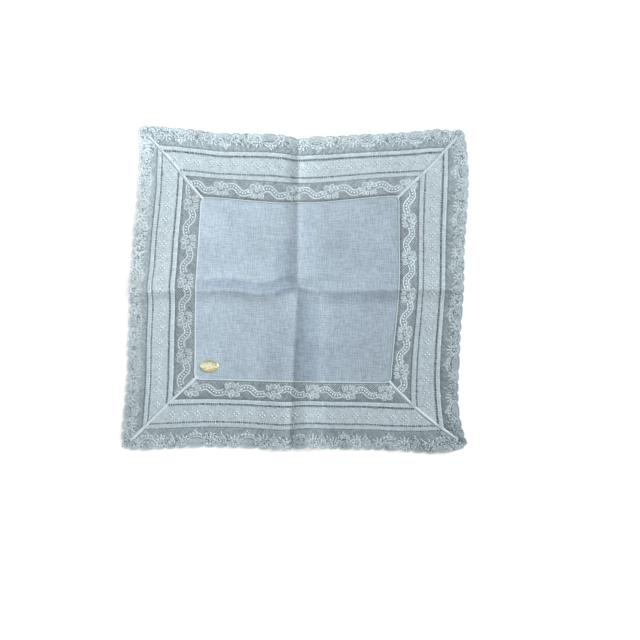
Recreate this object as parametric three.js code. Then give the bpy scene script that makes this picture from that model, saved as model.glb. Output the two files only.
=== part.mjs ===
// A linen handkerchief with a wide lace border, opened out and lying flat with its ironed creases.
// Millimetres, X to the right, Y to the far side, Z up. The cloth lies on Z = 0, with the origin
// under the middle of its outline. Each strip of the border is a piece of its own on each of the
// four sides, and the sides meet in whipped seams along the corner mitres.
import * as THREE from "three";

// Finished size of the cut cloth, lace edge to lace edge
const WIDTH = 305;
const DEPTH = 296;

// Widths of the border's strips, in order from the outer edge to the linen panel
const EDGING = 17.6;
const OUTER_HEM = 3.7;
const LADDER = 1.6;
const LAWN = 14.8;
const INNER_HEM = 4.1;
const INSERTION = 17.6;

// Distances of the strips' edges from the outer edge
const LAWN_START = EDGING;
const FIELD_START = LAWN_START + OUTER_HEM + LADDER;
const FIELD_END = FIELD_START + LAWN;
const LAWN_END = FIELD_END + LADDER + INNER_HEM;
const PANEL_START = LAWN_END + INSERTION;

// Thicknesses of the cloth, measured up from its underside
const SHEET = 1;
const HEM = 1.4;
const LADDER_FLOOR = 0.6;
const NET = 0.7;
const LACE_FIGURE = 1.1;
const ROLLED_EDGE = 1.5;
const SEAM_HEIGHT = 1.5;

// Widths of small features
const GAP = 0.3;
const STEP = 0.2;
const SEAM_WIDTH = 1.7;
const SEAM_SHOULDER = 0.9;
const SEAM_CROWN = 0.85;
const SEAM_END = 1.6;
const ROLL_WIDTH = 1.3;

// How much shorter each end of a strip is, along its side, than the corner's diagonal
const MITRE_TRIM = Math.SQRT2 * (SEAM_WIDTH / 2 + GAP);

// Steps along a strip of lawn and along a mitre seam, and places across half the linen panel
const LAWN_STEPS = 32;
const SEAM_STEPS = 22;
const PANEL_STATIONS = [0, 3, 6, 9.5, 14, 20, 28, 38, 52];

// Scalloped edge of the outer lace: one wide fan and three small scallops in each repeat
const SCALLOP_SHARES = [0.34, 0.22, 0.22, 0.22];
const SCALLOP_DEPTH = 1.5;
const SCALLOP_STEPS = 3;
const SCALLOP_CLEAR = 0.8;
const FESTOON_DEPTH = 11;
const FESTOON_SWING = 1.6;

// Ribbon-and-spray garland of the inner lace. A ribbon swings once in RIBBON_SHARE of a repeat,
// and the spray's middle is SPRAY_AT of a repeat past the ribbon's hump.
const GARLAND_STATIONS = 46;
const GARLAND_SWING = 3.1;
const RIBBON_SHARE = 0.64;
const RIBBON_HALF = 2.6;
const SPRAY_AT = 0.7;
const SPRAY_SHARE = 0.36;
const SPRAY_HALF = 6.4;

// Soft waves of the outer lace, which is eased on a little full
const RIPPLE_HEIGHT = 1.2;
const RIPPLE_LENGTH = 37;

// Oval foil label on the linen, with a raised rim between two shares of its radius
const LABEL = { at: [-77.5, -73.5], long: 16.6, wide: 11.6, thick: 0.5, rim: 0.12, rimFrom: 0.88, rimTo: 0.96 };
const LABEL_SIDES = 28;

// Moves the lying cloth so that the middle of its outline is over the origin
const RECENTRE = [-1.8, -3.9];

// How far the lying cloth strays from its cut shape, as [right, far] at five places across each row
const LAY = [
  {
    at: -DEPTH / 2,
    west: [-3.5, 3.1], panelWest: [-5.2, 3.6], fold: [0.5, 1.2], panelEast: [-6.3, 1.2], east: [1.2, 5.5],
  },
  {
    at: PANEL_START - DEPTH / 2,
    west: [0.4, 2.8], panelWest: [-2, 3.3], fold: [0.3, 1], panelEast: [-6.1, 0.1], east: [-5.4, -0.8],
  },
  {
    at: 0,
    west: [-0.6, -2.8], panelWest: [-2.3, -0.9], fold: [0.4, 0], panelEast: [2.2, 0], east: [1.6, 0.9],
  },
  {
    at: DEPTH / 2 - PANEL_START,
    west: [2.6, 2.5], panelWest: [1.1, 0.6], fold: [0.6, -5.6], panelEast: [3.8, 1.6], east: [5.4, 0.6],
  },
  {
    at: DEPTH / 2,
    west: [1.7, 8.3], panelWest: [2.7, 3.4], fold: [1.3, -3.4], panelEast: [7.4, 2.4], east: [3.7, 5.3],
  },
];
const LAY_COLUMNS = [
  { name: "west", at: -WIDTH / 2 },
  { name: "panelWest", at: PANEL_START - WIDTH / 2 },
  { name: "fold", at: 0 },
  { name: "panelEast", at: WIDTH / 2 - PANEL_START },
  { name: "east", at: WIDTH / 2 },
];

// Ironed creases. across is the direction that the profile is measured in, and before and after
// are its reach on the low and the high side of the crease line. The upright crease is folded
// one way in its far half and the other way in its near half; from and to are its ends.
const CREASES = [
  {
    name: "level", form: "ridge", across: "v", from: -WIDTH, to: WIDTH,
    before: { reach: 12, rise: 2.1 }, after: { reach: 34, rise: 2.1 },
  },
  {
    name: "upright, far half", form: "ridge", across: "u", from: 0, to: DEPTH,
    before: { reach: 14, rise: 2.4 }, after: { reach: 24, rise: 2.4 },
  },
  {
    name: "upright, near half", form: "trough", across: "u", from: -DEPTH, to: 0,
    before: { reach: 30, rise: 0.7 }, after: { reach: 36, rise: 2 },
  },
];
const CREASE_FADE = 12;
const TROUGH_SCALE = 27 / 4;

// How far the level crease wanders off its straight line, at places along it from west to east
const WANDER_AT = [-152.5, -90, -55, -43, -32, -20, -12, 0, 8, 16, 39, 60, 152.5];
const WANDER = [-1, -1.4, -1.8, -3.6, -4.6, -3.2, -0.5, 1.8, -0.5, -2, -2.7, -1.8, -1.8];

// The four sides, clockwise, each with the direction that it faces and the one that it runs in.
// At each end the lace is rounded off at the corner by round, and drawn in by pinch a third of
// the way along pinchReach, as far as the worn edge strays there. fan and hump are where the
// middle of a fan of the outer lace and a ribbon's hump of the inner lace stand along the side,
// and fans and humps are the lengths of their repeats. The border bends inwards by wave at the
// places waveAt along the side.
const SIDES = [
  {
    name: "far", faces: [0, 1], runs: [1, 0], half: DEPTH / 2, run: WIDTH / 2,
    start: { round: -1, pinch: 0, pinchReach: 30 },
    end: { round: -2, pinch: 1.6, pinchReach: 30 },
    fan: 15.5, fans: 43.5, hump: 5.5, humps: 34,
    waveAt: [-152.5, -122, -95, -76, -56, -40, -26, -13, 0, 15, 50, 88, 106, 122, 152.5],
    wave: [0, -0.6, 0.2, 1.1, -0.3, -1.6, -2.3, -1.7, -0.1, -0.4, 0, 1.2, 0.4, -0.5, 0],
  },
  {
    name: "east", faces: [1, 0], runs: [0, -1], half: WIDTH / 2, run: DEPTH / 2,
    start: { round: -1, pinch: -2, pinchReach: 120 },
    end: { round: -2.5, pinch: 3, pinchReach: 84 },
    fan: 22.6, fans: 44.2, hump: 16.5, humps: 34.6,
    waveAt: [-148, -120, -84, -45, -10, 33, 72, 110, 148],
    wave: [0, -0.5, 0.8, 1.9, 1.5, 1.1, 0.2, -0.2, 0],
  },
  {
    name: "near", faces: [0, -1], runs: [-1, 0], half: DEPTH / 2, run: WIDTH / 2,
    start: { round: 0, pinch: -4, pinchReach: 60 },
    end: { round: -1.5, pinch: -0.5, pinchReach: 60 },
    fan: -2.9, fans: 43.8, hump: -3, humps: 35.7,
    waveAt: [-152.5, -122, -97, -75, -35, -12, -3, 9, 45, 80, 104, 125, 152.5],
    wave: [0, -0.5, 0.3, 1.7, 2.4, 2.6, 2.2, 0.8, 1.8, 1.5, 0.4, -0.3, 0],
  },
  {
    name: "west", faces: [-1, 0], runs: [0, 1], half: WIDTH / 2, run: DEPTH / 2,
    start: { round: -1.5, pinch: -1, pinchReach: 80 },
    end: { round: -1.5, pinch: 1, pinchReach: 54 },
    fan: 13.2, fans: 42.5, hump: -15.5, humps: 36,
    waveAt: [-148, -122, -93, -54, -33, -14, -5, 5, 14, 53, 92, 122, 148],
    wave: [0, -0.6, -0.9, -1.2, -0.5, 0.1, -0.3, -1.3, -0.6, -0.3, 1.2, 1.6, 0.9],
  },
];
const WAVE_FADE = 34;
const ROUND_REACH = 8;

const CORNERS = [
  { name: "northeast", across: 1, up: 1 },
  { name: "southeast", across: 1, up: -1 },
  { name: "southwest", across: -1, up: -1 },
  { name: "northwest", across: -1, up: 1 },
];

const MATERIALS = {
  linen: new THREE.MeshStandardMaterial({ color: 0xb6c9d9, roughness: 0.85, metalness: 0 }),
  lawn: new THREE.MeshStandardMaterial({ color: 0xc6d7df, roughness: 0.85, metalness: 0 }),
  lace: new THREE.MeshStandardMaterial({ color: 0xbccbd1, roughness: 0.9, metalness: 0 }),
  thread: new THREE.MeshStandardMaterial({ color: 0xd6e3e8, roughness: 0.8, metalness: 0 }),
  foil: new THREE.MeshStandardMaterial({ color: 0xd9c978, roughness: 0.3, metalness: 0.9 }),
};

// Smooth curve through values at uneven stations, with the mean of the two slopes as tangent.
function curveThrough(stations, values, t) {
  const last = stations.length - 2;
  let i = 0;
  while (i < last && t > stations[i + 1]) i += 1;
  const slope = (k) => (values[k + 1] - values[k]) / (stations[k + 1] - stations[k]);
  const start = i === 0 ? slope(0) : (slope(i - 1) + slope(i)) / 2;
  const end = i === last ? slope(last) : (slope(i) + slope(i + 1)) / 2;
  const h = stations[i + 1] - stations[i];
  const q = (t - stations[i]) / h;
  const rise = q * q * (3 - 2 * q);
  const out = q * (1 - q) * (1 - q) * h * start;
  const back = q * q * (q - 1) * h * end;
  return values[i] + rise * (values[i + 1] - values[i]) + out + back;
}

// Rises smoothly from 0 at t = 0 to 1 at t = 1.
function smoothStep(t) {
  const q = Math.min(Math.max(t, 0), 1);
  return q * q * (3 - 2 * q);
}

// A bump that is 1 at t = 1/3, and 0 at t = 0 and from t = 1 on.
function thirdBump(t) {
  const q = Math.min(Math.max(t, 0), 1);
  return TROUGH_SCALE * q * (1 - q) ** 2;
}

// Height of the cloth's underside above the table at a place on the cut cloth.
function liftAt(u, v) {
  let lift = 0;
  for (const crease of CREASES) {
    const across = crease.across === "u" ? u : v - curveThrough(WANDER_AT, WANDER, u);
    const along = crease.across === "u" ? v : u;
    const { reach, rise } = across < 0 ? crease.before : crease.after;
    const q = Math.min(Math.abs(across) / reach, 1);
    const profile = crease.form === "ridge" ? (1 - q) ** 2 : thirdBump(q);
    const within = Math.min(along - crease.from, crease.to - along);
    lift += rise * profile * smoothStep(within / CREASE_FADE);
  }
  return lift;
}

// How far the border's waves move a place on the cut cloth: inwards, and fading towards the linen.
function waveAt(u, v) {
  const shift = [0, 0];
  for (const side of SIDES) {
    const inset = side.half - u * side.faces[0] - v * side.faces[1];
    const fade = smoothStep((PANEL_START - inset) / WAVE_FADE);
    if (fade > 0) {
      const along = u * side.runs[0] + v * side.runs[1];
      const inwards = fade * curveThrough(side.waveAt, side.wave, along);
      shift[0] -= inwards * side.faces[0];
      shift[1] -= inwards * side.faces[1];
    }
  }
  return shift;
}

// Where a place on the cut cloth lies, w above the cloth's underside.
function place(u, v, w) {
  const wave = waveAt(u, v);
  const across = LAY_COLUMNS.map((column) => column.at);
  const up = LAY.map((row) => row.at);
  const shift = [0, 1].map((k) => {
    const onRows = LAY.map((row) => curveThrough(across, LAY_COLUMNS.map((c) => row[c.name][k]), u));
    return curveThrough(up, onRows, v) + wave[k] + RECENTRE[k];
  });
  return new THREE.Vector3(u + shift[0], v + shift[1], liftAt(u, v) + w);
}

// Signed volume of a closed triangle mesh.
function volumeOf(points, faces) {
  const cross = new THREE.Vector3();
  let volume = 0;
  for (const [a, b, c] of faces) {
    volume += points[a].dot(cross.crossVectors(points[b], points[c])) / 6;
  }
  return volume;
}

// A mesh from points and triangles, with its faces turned outwards.
function solid(name, material, points, faces) {
  const outward = volumeOf(points, faces) > 0;
  const geometry = new THREE.BufferGeometry().setFromPoints(points);
  geometry.setIndex(faces.flatMap(([a, b, c]) => (outward ? [a, b, c] : [a, c, b])));
  geometry.computeVertexNormals();
  const mesh = new THREE.Mesh(geometry, material);
  mesh.name = name;
  return mesh;
}

// Joins like loops of points into one closed body. outline is the first loop in its own plane.
function sweep(name, material, loops, outline) {
  const size = outline.length;
  const faces = [];
  for (let k = 0; k + 1 < loops.length; k += 1) {
    for (let j = 0; j < size; j += 1) {
      const a = k * size + j;
      const b = k * size + ((j + 1) % size);
      faces.push([a, a + size, b + size], [a, b + size, b]);
    }
  }
  const flat = outline.map(([x, y]) => new THREE.Vector2(x, y));
  const clockwise = THREE.ShapeUtils.isClockWise(flat);
  const lastLoop = (loops.length - 1) * size;
  for (const triangle of THREE.ShapeUtils.triangulateShape(flat, [])) {
    const [a, b, c] = clockwise ? [...triangle].reverse() : triangle;
    faces.push([a, b, c], [lastLoop + a, lastLoop + c, lastLoop + b]);
  }
  return solid(name, material, loops.flat(), faces);
}

// Places a point of a side's strip: share runs from -1 to 1 between the mitres, inset is the
// distance in from the outer edge, and w is the height over the cloth's underside.
function onSide(side, share, inset, w) {
  const along = share * (side.run - inset - MITRE_TRIM);
  const out = side.half - inset;
  const u = out * side.faces[0] + along * side.runs[0];
  const v = out * side.faces[1] + along * side.runs[1];
  return place(u, v, w);
}

// One side's strip through stations, each with its share of the side's length and its loop
// of [inset, w] points.
function strip(name, material, side, stations) {
  const loops = stations.map(({ share, loop }) => loop.map(([inset, w]) => onSide(side, share, inset, w)));
  return sweep(name, material, loops, stations[0].loop);
}

// Even shares from -1 to 1, with more of them near the crease at 0.
function sharesWithCrease(count) {
  const even = Array.from({ length: count + 1 }, (_, k) => -1 + (2 * k) / count);
  return even.map((t) => Math.sign(t) * Math.abs(t) ** 1.5);
}

// How far the edge of the lace stands back at a corner, by the distance from that corner.
function cornerInset(corner, distance) {
  const q = Math.min(distance / ROUND_REACH, 1);
  return corner.round * (1 - q) ** 2 + corner.pinch * thirdBump(distance / corner.pinchReach);
}

// Stations along the scalloped edge, with how deep the notch between scallops is at each.
function scallopStations(side) {
  const reach = side.run - MITRE_TRIM;
  const stations = [{ share: -1, notch: SCALLOP_DEPTH }];
  let start = side.fan - (SCALLOP_SHARES[0] / 2) * side.fans;
  while (start > -reach) start -= side.fans;
  while (start < reach) {
    for (const part of SCALLOP_SHARES) {
      const length = part * side.fans;
      for (let k = 0; k < SCALLOP_STEPS; k += 1) {
        const t = k / SCALLOP_STEPS;
        const share = (start + t * length) / reach;
        if (Math.abs(share) < 1 - SCALLOP_CLEAR / reach) {
          stations.push({ share, notch: SCALLOP_DEPTH * Math.abs(2 * t - 1) ** 3 });
        }
      }
      start += length;
    }
  }
  stations.push({ share: 1, notch: SCALLOP_DEPTH });
  return stations;
}

// Outer lace: a thin net ground with a thicker figured band along its scalloped edge.
function edging(side) {
  const end = LAWN_START - GAP / 2;
  const stations = scallopStations(side).map(({ share, notch }) => {
    const fromStart = (1 + share) * side.run;
    const fromEnd = (1 - share) * side.run;
    const edge = notch + cornerInset(side.start, fromStart) + cornerInset(side.end, fromEnd);
    const wave = Math.cos((2 * Math.PI * (share * side.run - side.fan)) / side.fans);
    const festoon = FESTOON_DEPTH + FESTOON_SWING * wave;
    const ripple = 0.5 - 0.5 * Math.cos((2 * Math.PI * share * side.run) / RIPPLE_LENGTH);
    const section = [
      [edge + STEP, 0],
      [edge, SHEET / 2],
      [edge + 4 * STEP, LACE_FIGURE],
      [festoon, LACE_FIGURE],
      [festoon + STEP, NET],
      [end, NET],
      [end, 0],
      [festoon, 0],
    ];
    const loop = section.map(([inset, w]) => [inset, w + RIPPLE_HEIGHT * ripple * (1 - inset / end)]);
    return { share, loop };
  });
  return strip(`lace_edging_${side.name}`, MATERIALS.lace, side, stations);
}

// Lawn band: a folded hem along each edge, and a drawn-thread ladder between hem and field.
function lawnBand(side) {
  const start = LAWN_START + GAP / 2;
  const end = LAWN_END - GAP / 2;
  const middle = (FIELD_START + FIELD_END) / 2;
  const quarter = LAWN / 4;
  const loop = [
    [start, 0],
    [start, HEM],
    [LAWN_START + OUTER_HEM, HEM],
    [LAWN_START + OUTER_HEM + STEP, LADDER_FLOOR],
    [FIELD_START - STEP, LADDER_FLOOR],
    [FIELD_START, SHEET],
    [middle - quarter, SHEET],
    [middle, SHEET],
    [middle + quarter, SHEET],
    [FIELD_END, SHEET],
    [FIELD_END + STEP, LADDER_FLOOR],
    [FIELD_END + LADDER - STEP, LADDER_FLOOR],
    [FIELD_END + LADDER, HEM],
    [end, HEM],
    [end, 0],
    [FIELD_END, 0],
    [middle + quarter, 0],
    [middle, 0],
    [middle - quarter, 0],
    [FIELD_START, 0],
  ];
  const stations = sharesWithCrease(LAWN_STEPS).map((share) => ({ share, loop }));
  return strip(`lawn_band_${side.name}`, MATERIALS.lawn, side, stations);
}

// Inner lace: a net ground with a meandering garland, narrow at the ribbons and wide at the sprays.
function insertion(side) {
  const start = LAWN_END + GAP / 2;
  const end = PANEL_START - GAP / 2;
  const middle = (start + end) / 2;
  const reach = side.run - middle - MITRE_TRIM;
  const stations = Array.from({ length: GARLAND_STATIONS + 1 }, (_, k) => {
    const share = -1 + (2 * k) / GARLAND_STATIONS;
    const repeats = (share * reach - side.hump) / side.humps;
    const fromSpray = repeats - SPRAY_AT - Math.round(repeats - SPRAY_AT);
    const inSpray = Math.min(Math.abs(fromSpray) / SPRAY_SHARE, 0.5);
    const spray = Math.cos(Math.PI * inSpray) ** 2;
    const fromHump = fromSpray + SPRAY_AT - (fromSpray > 0 ? 1 : 0);
    const swing = GARLAND_SWING * Math.cos((2 * Math.PI * fromHump) / RIBBON_SHARE);
    const centre = middle - swing * (1 - spray);
    const half = RIBBON_HALF + (SPRAY_HALF - RIBBON_HALF) * spray;
    const loop = [
      [start, 0],
      [start, NET],
      [centre - half - STEP, NET],
      [centre - half, LACE_FIGURE],
      [centre + half, LACE_FIGURE],
      [centre + half + STEP, NET],
      [end, NET],
      [end, 0],
      [centre, 0],
    ];
    return { share, loop };
  });
  return strip(`lace_insertion_${side.name}`, MATERIALS.lace, side, stations);
}

// Whipped seam along a corner's mitre, from the linen's corner to the tip of the lace.
function mitreSeam(corner) {
  const half = SEAM_WIDTH / 2;
  const start = PANEL_START - GAP;
  const end = SEAM_END;
  const section = [
    [-half, 0],
    [half, 0],
    [half, SEAM_SHOULDER],
    [SEAM_CROWN / 2, SEAM_HEIGHT],
    [-SEAM_CROWN / 2, SEAM_HEIGHT],
    [-half, SEAM_SHOULDER],
  ];
  const loops = Array.from({ length: SEAM_STEPS + 1 }, (_, k) => {
    const inset = start + ((end - start) * k) / SEAM_STEPS;
    const u = corner.across * (WIDTH / 2 - inset);
    const v = corner.up * (DEPTH / 2 - inset);
    return section.map(([off, w]) => {
      const shift = off / Math.SQRT2;
      return place(u - shift * corner.up, v + shift * corner.across, w);
    });
  });
  return sweep(`mitre_seam_${corner.name}`, MATERIALS.thread, loops, section);
}

// Stations across the linen panel: close together at its rolled edge and at the crease.
function panelStations(clothHalf) {
  const edge = clothHalf - PANEL_START - GAP / 2;
  const half = [...PANEL_STATIONS, edge - 3 * ROLL_WIDTH, edge - ROLL_WIDTH, edge - ROLL_WIDTH / 2, edge];
  return [...half.slice(1).map((t) => -t).reverse(), ...half];
}

// Linen panel: one thin sheet with a rolled edge, creased in four.
function linenPanel() {
  const across = panelStations(WIDTH / 2);
  const up = panelStations(DEPTH / 2);
  const columns = across.length;
  const rows = up.length;
  const rimRise = (k, count) => {
    const fromEdge = Math.min(k, count - 1 - k);
    return [SHEET * 0.8, ROLLED_EDGE, SHEET][fromEdge] ?? SHEET;
  };
  const thickness = (i, j) => {
    const rises = [rimRise(i, columns), rimRise(j, rows)];
    return i % (columns - 1) === 0 || j % (rows - 1) === 0 ? Math.min(...rises) : Math.max(...rises);
  };
  const points = [];
  for (let j = 0; j < rows; j += 1) {
    for (let i = 0; i < columns; i += 1) {
      points.push(place(across[i], up[j], 0), place(across[i], up[j], thickness(i, j)));
    }
  }
  const under = (i, j) => 2 * (j * columns + i);
  const faces = [];
  const quad = (a, b, c, d) => faces.push([a, b, c], [a, c, d]);
  for (let j = 0; j + 1 < rows; j += 1) {
    for (let i = 0; i + 1 < columns; i += 1) {
      const corners = [under(i, j), under(i + 1, j), under(i + 1, j + 1), under(i, j + 1)];
      quad(...corners.map((k) => k + 1));
      quad(...corners.reverse());
    }
  }
  const wall = (a, b) => quad(a, b, b + 1, a + 1);
  for (let i = 0; i + 1 < columns; i += 1) {
    wall(under(i, 0), under(i + 1, 0));
    wall(under(i + 1, rows - 1), under(i, rows - 1));
  }
  for (let j = 0; j + 1 < rows; j += 1) {
    wall(under(columns - 1, j), under(columns - 1, j + 1));
    wall(under(0, j + 1), under(0, j));
  }
  return solid("linen_panel", MATERIALS.linen, points, faces);
}

// Oval foil label: a thin turned disc with a raised rim, drawn out to an oval.
function foilLabel() {
  const { thick, rim, rimFrom, rimTo } = LABEL;
  const profile = [
    [0, 0],
    [1, 0],
    [1, thick - rim],
    [rimTo, thick],
    [rimFrom, thick],
    [rimFrom - (1 - rimTo), thick - rim],
    [0, thick - rim],
  ].map(([x, y]) => new THREE.Vector2(x, y));
  const mesh = new THREE.Mesh(new THREE.LatheGeometry(profile, LABEL_SIDES), MATERIALS.foil);
  mesh.name = "foil_label";
  mesh.rotation.x = Math.PI / 2;
  mesh.scale.set(LABEL.long / 2, 1, LABEL.wide / 2);
  mesh.position.copy(place(...LABEL.at, SHEET + GAP));
  return mesh;
}

const handkerchief = new THREE.Group();
handkerchief.add(linenPanel());
for (const side of SIDES) {
  handkerchief.add(insertion(side), lawnBand(side), edging(side));
}
for (const corner of CORNERS) {
  handkerchief.add(mitreSeam(corner));
}
handkerchief.add(foilLabel());

export default handkerchief;
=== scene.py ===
"""A linen handkerchief with a wide lace border, lying open with its ironed creases.

Sizes are millimetres on the cut cloth. u runs to the right and v to the far side from the middle
of the cloth, and w is the height over its underside. On one side's strip the same place is s along
the strip, from its middle, and d in from the outer edge. Lay.place turns them all into metres.
"""

import logging
import math
from dataclasses import dataclass
from enum import Enum
from typing import Callable

import bpy
import numpy as np
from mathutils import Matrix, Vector
from numpy.typing import NDArray


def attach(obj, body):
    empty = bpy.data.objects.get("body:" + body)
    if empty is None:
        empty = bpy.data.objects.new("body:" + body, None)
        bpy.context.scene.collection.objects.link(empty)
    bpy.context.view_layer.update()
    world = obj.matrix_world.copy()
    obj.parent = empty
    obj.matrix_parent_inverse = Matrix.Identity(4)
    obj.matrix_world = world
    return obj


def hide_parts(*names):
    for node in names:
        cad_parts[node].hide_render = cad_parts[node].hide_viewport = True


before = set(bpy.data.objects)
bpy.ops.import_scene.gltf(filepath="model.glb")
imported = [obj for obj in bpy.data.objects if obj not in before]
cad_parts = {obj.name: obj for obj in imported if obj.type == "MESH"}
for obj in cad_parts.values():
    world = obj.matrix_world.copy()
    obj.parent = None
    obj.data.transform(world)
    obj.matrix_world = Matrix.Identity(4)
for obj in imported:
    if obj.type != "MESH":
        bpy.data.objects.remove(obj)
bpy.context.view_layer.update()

Array = NDArray[np.float64]
Bend = Callable[[Array, Array], Array]
Point = tuple[float, float, float]
Colour = tuple[float, float, float]
Knots = tuple[tuple[float, float], ...]
Rows = tuple[tuple[float, ...], ...]

LOG = logging.getLogger("handkerchief")
BODY = "root"
MM = 0.001
SEED = 20


class Form(Enum):
    """Outlines that a worked patch of lace can have."""

    OVAL = "oval"
    LEAF = "leaf"


class Fold(Enum):
    """The ways a crease can stand."""

    RIDGE = "ridge"
    TROUGH = "trough"


@dataclass(frozen=True)
class Cut:
    """Cut sizes of the cloth: its outside, and its border's strips from the outer edge inwards.

    The mitre seams end at seam_tip, a distance in. The strips come together there over seam_fade,
    and the share seam_lead of it lies on the tip's outer side.
    """

    width: float = 305.0
    depth: float = 296.0
    edging: float = 17.6
    outer_hem: float = 3.7
    ladder: float = 1.6
    lawn: float = 14.8
    inner_hem: float = 4.1
    insertion: float = 17.6
    gap: float = 0.3
    seam_width: float = 1.7
    seam_tip: float = 7.5
    seam_lead: float = 0.2
    seam_fade: float = 4.0

    @property
    def field_start(self) -> float:
        """Distance in to the plain lawn between its two ladders."""
        return self.edging + self.outer_hem + self.ladder

    @property
    def field_end(self) -> float:
        """Distance in to the end of the plain lawn."""
        return self.field_start + self.lawn

    @property
    def lawn_end(self) -> float:
        """Distance in to the inner edge of the lawn band."""
        return self.field_end + self.ladder + self.inner_hem

    @property
    def panel_start(self) -> float:
        """Distance in to the edge of the linen panel."""
        return self.lawn_end + self.insertion

    @property
    def mitre_trim(self) -> float:
        """How much each end of a strip stops short of the corner's diagonal, along its side."""
        return math.sqrt(2) * (self.seam_width / 2 + self.gap)


CUT = Cut()


def curve_through(stations: Array, values: Array, at: Array) -> Array:
    """Smooth curve through values at uneven stations.

    Between two stations it is the cubic whose end slopes are the mean of the straight slopes on
    both sides of each station: value + rise(q) * step + the two slope terms.

    Args:
        stations: Places of the values, in rising order.
        values: One value a station, or one row of values, with a column for each place asked.
        at: Places asked.

    Returns:
        The curve's value at each place asked.
    """
    step = np.diff(stations)
    slopes = np.diff(values, axis=0) / step.reshape((-1,) + (1,) * (values.ndim - 1))
    tangents = np.concatenate([slopes[:1], (slopes[:-1] + slopes[1:]) / 2, slopes[-1:]])
    index = np.clip(np.searchsorted(stations, at, side="left") - 1, 0, len(stations) - 2)

    def pick(table: Array, k: Array) -> Array:
        """The table's value for each place asked."""
        return table[k] if table.ndim == 1 else np.take_along_axis(table, k[None], 0)[0]

    q = (at - stations[index]) / step[index]
    start, end = pick(values, index), pick(values, index + 1)
    out = q * (1 - q) ** 2 * step[index] * pick(tangents, index)
    back = q**2 * (q - 1) * step[index] * pick(tangents, index + 1)
    return start + q * q * (3 - 2 * q) * (end - start) + out + back


def smooth_step(t: Array) -> Array:
    """Rises smoothly from 0 at t = 0 to 1 at t = 1, as 3 t^2 - 2 t^3."""
    q = np.clip(t, 0, 1)
    return q * q * (3 - 2 * q)


def third_bump(t: Array) -> Array:
    """A bump 27/4 t (1 - t)^2, which is 1 at a third, and 0 at 0 and from 1 on."""
    q = np.clip(t, 0, 1)
    return 27 / 4 * q * (1 - q) ** 2


@dataclass(frozen=True)
class Worn:
    """How far the lace's edge strays near one end of a side.

    It is rounded over a short way at the corner, and a pinch has its middle a third of the way
    along its reach.
    """

    rounding: float
    pinch: float
    reach: float
    round_reach: float = 8.0

    def inset(self, distance: Array) -> Array:
        """How far the edge stands back at a distance from the corner."""
        q = np.clip(distance / self.round_reach, 0, 1)
        return self.rounding * (1 - q) ** 2 + self.pinch * third_bump(distance / self.reach)


@dataclass(frozen=True)
class Side:
    """One side of the border.

    It says where the side faces and runs, how its lace is worn at both ends, and where the first of
    its fans and ribbon humps stands and how far apart they are. A lozenge is given as its number and
    its place, for a few of them. A wave is a place and how far in the border bends there. The kink
    that a crease makes is a place, how far in, and half its length, and it dies out kink_fade in.
    Lawn beside a crease has painted light and painted shade: a place, a reach and a change of tone.
    greyed is painted shade taken off the tone of the outer lace's work on this side.
    """

    name: str
    faces: tuple[int, int]
    runs: tuple[int, int]
    start: Worn
    end: Worn
    fan: float
    fans: float
    hump: float
    humps: float
    lozenges: Knots
    waves: Knots
    kink: tuple[float, float, float] = (0.0, 0.0, 10.0)
    painted_crease_tone: Rows = ((0.0, 1.0, 0.0),)
    painted_side_shade: float = 0.0
    kink_fade: float = 32.0

    @property
    def half(self) -> float:
        """Distance from the middle of the cloth to this side's outer edge."""
        return (CUT.width if self.faces[0] else CUT.depth) / 2

    @property
    def run(self) -> float:
        """Half the length of this side."""
        return (CUT.depth if self.faces[0] else CUT.width) / 2

    def limit(self, d: Array | float) -> Array | float:
        """Half the length of the strip at a distance in, up to its seams or, past them, its mitres."""
        return self.run - d - CUT.mitre_trim * smooth_step((d - CUT.seam_tip) / CUT.seam_fade + CUT.seam_lead)

    def randomness(self) -> np.random.Generator:
        """Seeded randomness of this side, the same at every call."""
        return np.random.default_rng(SEED + SIDES.index(self))

    def keeps(self, s: Array, d: Array, margin: float = 0.0) -> NDArray[np.bool_]:
        """Which places lie between the mitres, at least a margin clear of them."""
        return np.abs(s) < self.limit(d) - margin

    def repeats(self, first: float, length: float) -> Array:
        """Places of one mark of every repeat, with a repeat more past each end."""
        count = int(2 * self.run / length) + 2
        return first + length * np.arange(-count, count + 1)

    def wave(self, along: Array) -> Array:
        """How far in the border bends at each place along the side."""
        at, by = np.array(self.waves, float).T
        return curve_through(at, by, along)

    def kinked(self, along: Array, inset: Array) -> Array:
        """How far in the crease's kink draws the border.

        It is a straight slope on both sides of the kink's place, most at the outer edge.

        Args:
            along: Places along the side.
            inset: How far in they are.

        Returns:
            How far in each place is drawn.
        """
        place, depth, reach = self.kink
        slope = np.clip(1 - np.abs(along - place) / reach, 0, 1)
        return depth * slope * np.clip(1 - inset / self.kink_fade, 0, 1)


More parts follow.
